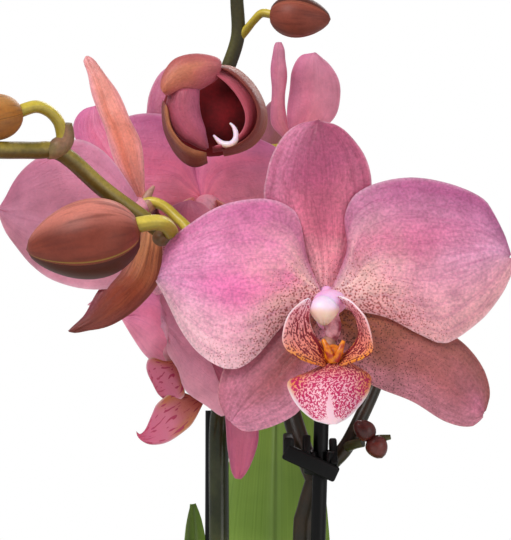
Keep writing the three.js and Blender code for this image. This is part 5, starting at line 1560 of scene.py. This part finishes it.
def ring_mesh(name, centre, inner, outer, height, gap=0.0, sides=48):
    """The mesh of a clip's upright ring with rounded edges, open at the front by a gap in degrees."""
    soft = 0.3
    low = -height / 2
    high = height / 2
    section = [(inner, low + soft), (inner + soft, low), (outer - soft, low), (outer, low + soft),
               (outer, high - soft), (outer - soft, high), (inner + soft, high), (inner, high - soft)]
    start = math.radians(-90 + gap / 2)
    sweep = math.radians(360 - gap)
    count = sides if gap == 0 else sides + 1
    points = []
    for i in range(count):
        turn = start + sweep * i / sides
        for radius, z in section:
            points.append((centre[0] + radius * math.cos(turn), centre[1] + radius * math.sin(turn),
                           centre[2] + z))
    around = len(section)
    faces = []
    for i in range(sides):
        j = (i + 1) % count
        for k in range(around):
            m = (k + 1) % around
            faces.append((i * around + k, j * around + k, j * around + m, i * around + m))
    if gap:
        faces.append(tuple(range(around)))
        faces.append(tuple((count - 1) * around + k for k in reversed(range(around))))
    return mesh_of(outward(mesh_object(name, points, faces, [material_of("clip_plastic")])))


# Properties

class OrchidSizes(bpy.types.PropertyGroup):
    pot_height: bpy.props.FloatProperty(
        name="Pot height", description="From the table to the pot's rim", default=0.108, unit="LENGTH")
    pot_top_radius: bpy.props.FloatProperty(
        name="Pot top radius", description="Outside radius of the pot under its rim", default=0.060,
        unit="LENGTH")
    pot_foot_radius: bpy.props.FloatProperty(
        name="Pot foot radius", description="Outside radius of the pot's foot", default=0.044,
        unit="LENGTH")
    leaf_thickness: bpy.props.FloatProperty(
        name="Leaf thickness", description="Thickness of the leaves", default=0.0015, unit="LENGTH")
    petal_thickness: bpy.props.FloatProperty(
        name="Petal thickness", description="Thickness of the petals", default=0.0007, unit="LENGTH")


class OrchidColours(bpy.types.PropertyGroup):
    glaze: bpy.props.FloatVectorProperty(
        name="Glaze", description="Colour of the pot", size=4, subtype="COLOR", min=0, max=1,
        default=linear("#e2dccf"))


# Operators

class ORCHID_OT_blooms(bpy.types.Operator):
    """Makes the petals, sepals, hub and column of every bloom"""
    bl_idname = "orchid.blooms"
    bl_label = "Blooms"

    def execute(self, context):
        for name, bloom in BLOOMS.items():
            finished(joined(f"{name}_petals", bloom_parts(name, bloom)), name)
        return {"FINISHED"}


class ORCHID_OT_lips(bpy.types.Operator):
    """Makes the lip of every bloom"""
    bl_idname = "orchid.lips"
    bl_label = "Lips"

    def execute(self, context):
        for name, bloom in BLOOMS.items():
            finished(joined(f"{name}_lip_skin", lip_parts(name, bloom)), f"{name}_lip")
        return {"FINISHED"}


class ORCHID_OT_spikes(bpy.types.Operator):
    """Makes the two flower spikes with their stalks"""
    bl_idname = "orchid.spikes"
    bl_label = "Flower spikes"

    def execute(self, context):
        finished(joined("spike_left_skin", left_spike_parts()), "spike_left")
        finished(joined("spike_right_skin", right_spike_parts()), "spike_right")
        return {"FINISHED"}


class ORCHID_OT_buds(bpy.types.Operator):
    """Makes the closed buds and the half-open bud"""
    bl_idname = "orchid.buds"
    bl_label = "Buds"

    def execute(self, context):
        closed = {
            "bud_big": ((-20.9, -45, 327.2), (-41.7, -46, 323.7), 7.4, "bud", 52),
            "bud_edge": ((-42.4, -46, 348.7), (-53.1, -50, 346.2), 4.2, "bud_tan", 75),
            "bud_top": ((3, 18, 375.6), (16.3, 16, 374.3), 4.6, "bud_dark", 52),
        }
        for name, (base, tip, radius, look, seam_turn) in closed.items():
            mesh = bud_mesh(name, base, tip, radius, look, seam=0.04, seam_turn=seam_turn)
            finished(joined(f"{name}_skin", [mesh]), name)
        finished(joined("bud_opening_sepals", opening_parts()), "bud_opening")
        groups = {
            "bud_tail": dict(
                stalk=([(-65.9, -60, 352.9), (-69, -61.2, 356.4), (-72.5, -62.5, 358.5)],
                       (1, 0.8, 0.7), "small_bud", 16),
                buds=[((-66.8, -60.4, 353.9), (-71, -58, 364), 3.2),
                      ((-71.5, -62.2, 358), (-79.5, -64, 362), 2.8)],
                look=("bud", 24, 16)),
            "bud_crest": dict(
                stalk=([(2, 14.9, 401), (5, 12.8, 403.6), (8, 11, 404.6)], (1, 0.8, 0.7), "small_bud", 16),
                buds=[((2.9, 14.2, 402), (1, 13, 412), 3.2), ((7, 11.6, 404.4), (15, 8.6, 406), 2.8)],
                look=("bud", 24, 16)),
            "shoot_buds": dict(
                stalk=([(23.2, -10.4, 285.6), (23.8, -10.6, 285.8), (27.2, -11.2, 286.4)],
                       (0.9, 0.8, 0.5), "shoot", 10),
                buds=[((23.8, -10.4, 286.2), (19.9, -11.8, 289.4), 2.1),
                      ((23.6, -10.6, 286.4), (25.4, -12.2, 282.2), 2.3)],
                look=("shoot_bud", 20, 12)),
        }
        for name, group in groups.items():
            meshes = [stem_mesh(f"{name}_stalk", *group["stalk"])]
            meshes += [bud_mesh(f"{name}_bud", *bud, *group["look"]) for bud in group["buds"]]
            finished(joined(f"{name}_skin", meshes), name)
        return {"FINISHED"}


class ORCHID_OT_stakes(bpy.types.Operator):
    """Makes the two plant stakes"""
    bl_idname = "orchid.stakes"
    bl_label = "Stakes"

    def execute(self, context):
        for name, (low, high) in STAKES.items():
            mesh = stem_mesh(f"{name}_rod", [low, high], (STAKE_RADIUS, STAKE_RADIUS), "stake_plastic",
                             count=24, sides=28)
            finished(joined(f"{name}_rod", [mesh]), name)
        return {"FINISHED"}


class ORCHID_OT_clips(bpy.types.Operator):
    """Makes the clips that hold the spikes to the stakes"""
    bl_idname = "orchid.clips"
    bl_label = "Clips"

    def execute(self, context):
        height = 281.4
        centre = stake_point("stake_front", height)
        finished(joined("clip_front_jaws", [
            ring_mesh("clip_ring", (centre.x, centre.y, height), STAKE_RADIUS + 0.1, 3.4, 4.6, 50),
            block_mesh("clip_arm", (5.8, -15.4, 284), (16.2, -15.4, 279.2), 1.6, 3.2, 0.5),
            block_mesh("clip_side", (6.6, -16, 284.4), (6.6, -5, 284.4), 2, 4.6, 0.5),
            block_mesh("clip_jaw", (15.6, -15.4, 281), (15.6, -9.6, 285.6), 1.6, 1.8, 0.5),
            block_mesh("clip_nib", (10.2, -15.2, 282.4), (10.2, -13.8, 287), 1.6, 1.6, 0.4),
        ]), "clip_front")
        pairs = {"clip_front_low": ("stake_front", (9.5, -5), 180, 2.3),
                 "clip_left_low": ("stake_left", (-7.6, -2), 220, 2.2)}
        for name, (stake, stem_at, z, stem_radius) in pairs.items():
            stake_at = stake_point(stake, z)
            start = Vector((stake_at.x, stake_at.y, z))
            end = Vector((*stem_at, z))
            step = (end - start).normalized()
            finished(joined(f"{name}_rings", [
                ring_mesh(f"{name}_one", start, STAKE_RADIUS + 0.1, STAKE_RADIUS + 1.8, 4, 50),
                ring_mesh(f"{name}_two", end, stem_radius + 0.1, stem_radius + 2, 4),
                block_mesh(f"{name}_web", start + step * (STAKE_RADIUS + 0.8),
                           end - step * (stem_radius + 0.9), 2.4, 3.6, 0.4),
            ]), name)
        return {"FINISHED"}


class ORCHID_OT_leaves(bpy.types.Operator):
    """Makes the strap leaves"""
    bl_idname = "orchid.leaves"
    bl_label = "Leaves"

    def execute(self, context):
        thickness = context.scene.orchid_sizes.leaf_thickness / MM
        for name, leaf in LEAVES.items():
            mesh = blade_mesh(name, leaf_lines(leaf), "leaf", "leaf_under", along=70, across=25,
                              front_way=(0, 0, 1), thickness=thickness, groove=0.7, groove_width=0.14)
            finished(joined(f"{name}_blade", [mesh]), name)
        return {"FINISHED"}


class ORCHID_OT_crown(bpy.types.Operator):
    """Makes the crown that the leaves, spikes and roots spring from"""
    bl_idname = "orchid.crown"
    bl_label = "Crown"

    def execute(self, context):
        profile = [(0, 70), (6, 72), (7.6, 78), (8.6, 84), (8.9, 95), (9.0, 104), (8.9, 112), (8.4, 116),
                   (7.4, 119.4), (6, 122), (3.4, 125), (0, 126)]
        points, faces = lathe(profile, CROWN_CENTRE, 40)
        body = outward(mesh_object("crown_body", points, faces, [material_of("crown")]))
        finished(body, "crown")
        return {"FINISHED"}


class ORCHID_OT_roots(bpy.types.Operator):
    """Makes the air roots"""
    bl_idname = "orchid.roots"
    bl_label = "Roots"

    def execute(self, context):
        meshes = []
        for number, path in enumerate(ROOTS):
            meshes.append(stem_mesh(f"root_{number + 1}", path, (2.3, 2.35, 2.1, 2.15, 1.8), "root", 50, 20))
        finished(joined("roots_skin", meshes), "roots")
        return {"FINISHED"}


class ORCHID_OT_pot(bpy.types.Operator):
    """Makes the glazed pot"""
    bl_idname = "orchid.pot"
    bl_label = "Pot"

    def execute(self, context):
        sizes = context.scene.orchid_sizes
        height = sizes.pot_height / MM
        top = sizes.pot_top_radius / MM
        foot = sizes.pot_foot_radius / MM
        under = height - POT_RIM_HEIGHT
        profile = [(0, 0), (foot - 1.5, 0), (foot - 0.4, 0.4), (foot + 0.1, 1.5)]
        profile += [(foot + (top - foot) * k / 12, under * k / 12) for k in range(1, 12)]
        profile += [(top - 0.3, under - 0.5), (top + 0.3, under), (top + POT_RIM_REACH - 0.8, under + 0.2),
                    (top + POT_RIM_REACH, under + 1.2), (top + POT_RIM_REACH, height - 1.6),
                    (top + POT_RIM_REACH - 0.5, height - 0.5), (top + POT_RIM_REACH - 1.5, height),
                    (top - POT_WALL + 1.6, height), (top - POT_WALL + 0.6, height - 0.4),
                    (top - POT_WALL, height - 1.8), (foot - POT_WALL, POT_FLOOR), (0, POT_FLOOR)]
        points, faces = lathe(profile, (0, 0, 0), 96)
        body = outward(mesh_object("pot_body", points, faces, [material_of("stoneware_glaze")]))
        finished(body, "pot")
        return {"FINISHED"}


class ORCHID_OT_bark(bpy.types.Operator):
    """Makes the bed of bark chips"""
    bl_idname = "orchid.bark"
    bl_label = "Bark"

    def execute(self, context):
        sizes = context.scene.orchid_sizes
        top = sizes.pot_top_radius / MM - POT_WALL - 1.0
        foot = sizes.pot_foot_radius / MM - POT_WALL - 0.8
        bed_profile = [(0, POT_FLOOR + 0.4), (foot, POT_FLOOR + 0.4), (top - 1.6, BARK_TOP - 5),
                       (top - 6, BARK_TOP - 2.6), (0, BARK_TOP - 1)]
        points, faces = lathe(bed_profile, (0, 0, 0), 48)
        bed = mesh_of(outward(mesh_object("bed", points, faces, [material_of("fir_bark")], smooth=False)))
        reach = top - 8
        disc_points = [(0, 0, BARK_TOP - 0.5)]
        disc_faces = []
        sides = 32
        for i in range(sides):
            turn = 2 * math.pi * i / sides
            disc_points.append((reach * math.cos(turn), reach * math.sin(turn), BARK_TOP - 1.5))
            disc_faces.append((0, 1 + i, 1 + (i + 1) % sides))
        chips = baked(mesh_object("chips", disc_points, disc_faces), tree_of("chips"),
                      {"Material": material_of("fir_bark")})
        finished(joined("bark_chips", [bed, chips]), "bark")
        return {"FINISHED"}


class ORCHID_OT_stage(bpy.types.Operator):
    """Makes the pale floor, the soft studio light and the camera"""
    bl_idname = "orchid.stage"
    bl_label = "Stage"

    def execute(self, context):
        scene = context.scene
        sides = 64
        reach = 1600
        turns = [2 * math.pi * i / sides for i in range(sides)]
        points = [(reach * math.cos(turn), reach * math.sin(turn), -0.2) for turn in turns]
        material, tree, shader = bare_material("studio_floor")
        shader.inputs["Base Color"].default_value = linear("#f2f1ee")
        shader.inputs["Roughness"].default_value = 0.7
        mesh_object("studio_floor", points, [tuple(range(sides))], [material], smooth=False)

        world = bpy.data.worlds.new("studio")
        scene.world = world
        world.use_nodes = True
        tree = world.node_tree
        tree.nodes.clear()
        seen = add(tree, "ShaderNodeLightPath", output="Is Camera Ray")
        fill = add(tree, "ShaderNodeBackground", {"Color": linear("#f4f6fb"), "Strength": 0.42})
        white = add(tree, "ShaderNodeBackground", {"Color": linear("#ffffff")})
        both = add(tree, "ShaderNodeMixShader", {0: seen, 1: fill, 2: white})
        add(tree, "ShaderNodeOutputWorld", {"Surface": both})

        lamps = {
            "key": ((-0.6, -0.75, 1.1), 0.5, 9.5),
            "fill": ((0.8, -0.85, 0.5), 0.8, 3.0),
            "back": ((0.3, 0.9, 0.9), 0.7, 6.0),
        }
        aim = Vector((0, 0, 0.3))
        for name, (place, size, power) in lamps.items():
            data = bpy.data.lights.new(name, "AREA")
            data.size = size
            data.energy = power
            lamp = bpy.data.objects.new(name, data)
            lamp.location = place
            lamp.rotation_euler = (aim - Vector(place)).to_track_quat("-Z", "Y").to_euler()
            scene.collection.objects.link(lamp)

        data = bpy.data.cameras.new("camera")
        data.lens = CAMERA_LENS
        data.sensor_width = CAMERA_SENSOR
        data.clip_start = 0.01
        camera = bpy.data.objects.new("camera", data)
        camera.location = CAMERA_PLACE
        camera.rotation_euler = (math.radians(90), 0, 0)
        scene.collection.objects.link(camera)
        scene.camera = camera
        scene.view_settings.view_transform = "Standard"
        return {"FINISHED"}


OPERATORS = [
    ORCHID_OT_stage, ORCHID_OT_blooms, ORCHID_OT_lips, ORCHID_OT_spikes, ORCHID_OT_buds,
    ORCHID_OT_stakes, ORCHID_OT_clips, ORCHID_OT_leaves, ORCHID_OT_crown, ORCHID_OT_roots,
    ORCHID_OT_pot, ORCHID_OT_bark,
]


class ORCHID_PT_panel(bpy.types.Panel):
    bl_idname = "ORCHID_PT_panel"
    bl_label = "Potted moth orchid"
    bl_space_type = "VIEW_3D"
    bl_region_type = "UI"
    bl_category = "Orchid"

    def draw(self, context):
        for group in (context.scene.orchid_sizes, context.scene.orchid_colours):
            for item in group.bl_rna.properties:
                if item.identifier not in ("rna_type", "name"):
                    self.layout.prop(group, item.identifier)
        for operator in OPERATORS:
            self.layout.operator(operator.bl_idname)


CLASSES = [OrchidSizes, OrchidColours, *OPERATORS, ORCHID_PT_panel]


def register():
    for item in CLASSES:
        bpy.utils.register_class(item)
    bpy.types.Scene.orchid_sizes = bpy.props.PointerProperty(type=OrchidSizes)
    bpy.types.Scene.orchid_colours = bpy.props.PointerProperty(type=OrchidColours)


def unregister():
    del bpy.types.Scene.orchid_colours
    del bpy.types.Scene.orchid_sizes
    for item in reversed(CLASSES):
        bpy.utils.unregister_class(item)


def main():
    register()
    for operator in OPERATORS:
        group, name = operator.bl_idname.split(".")
        getattr(getattr(bpy.ops, group), name)()


if __name__ == "__main__":
    main()
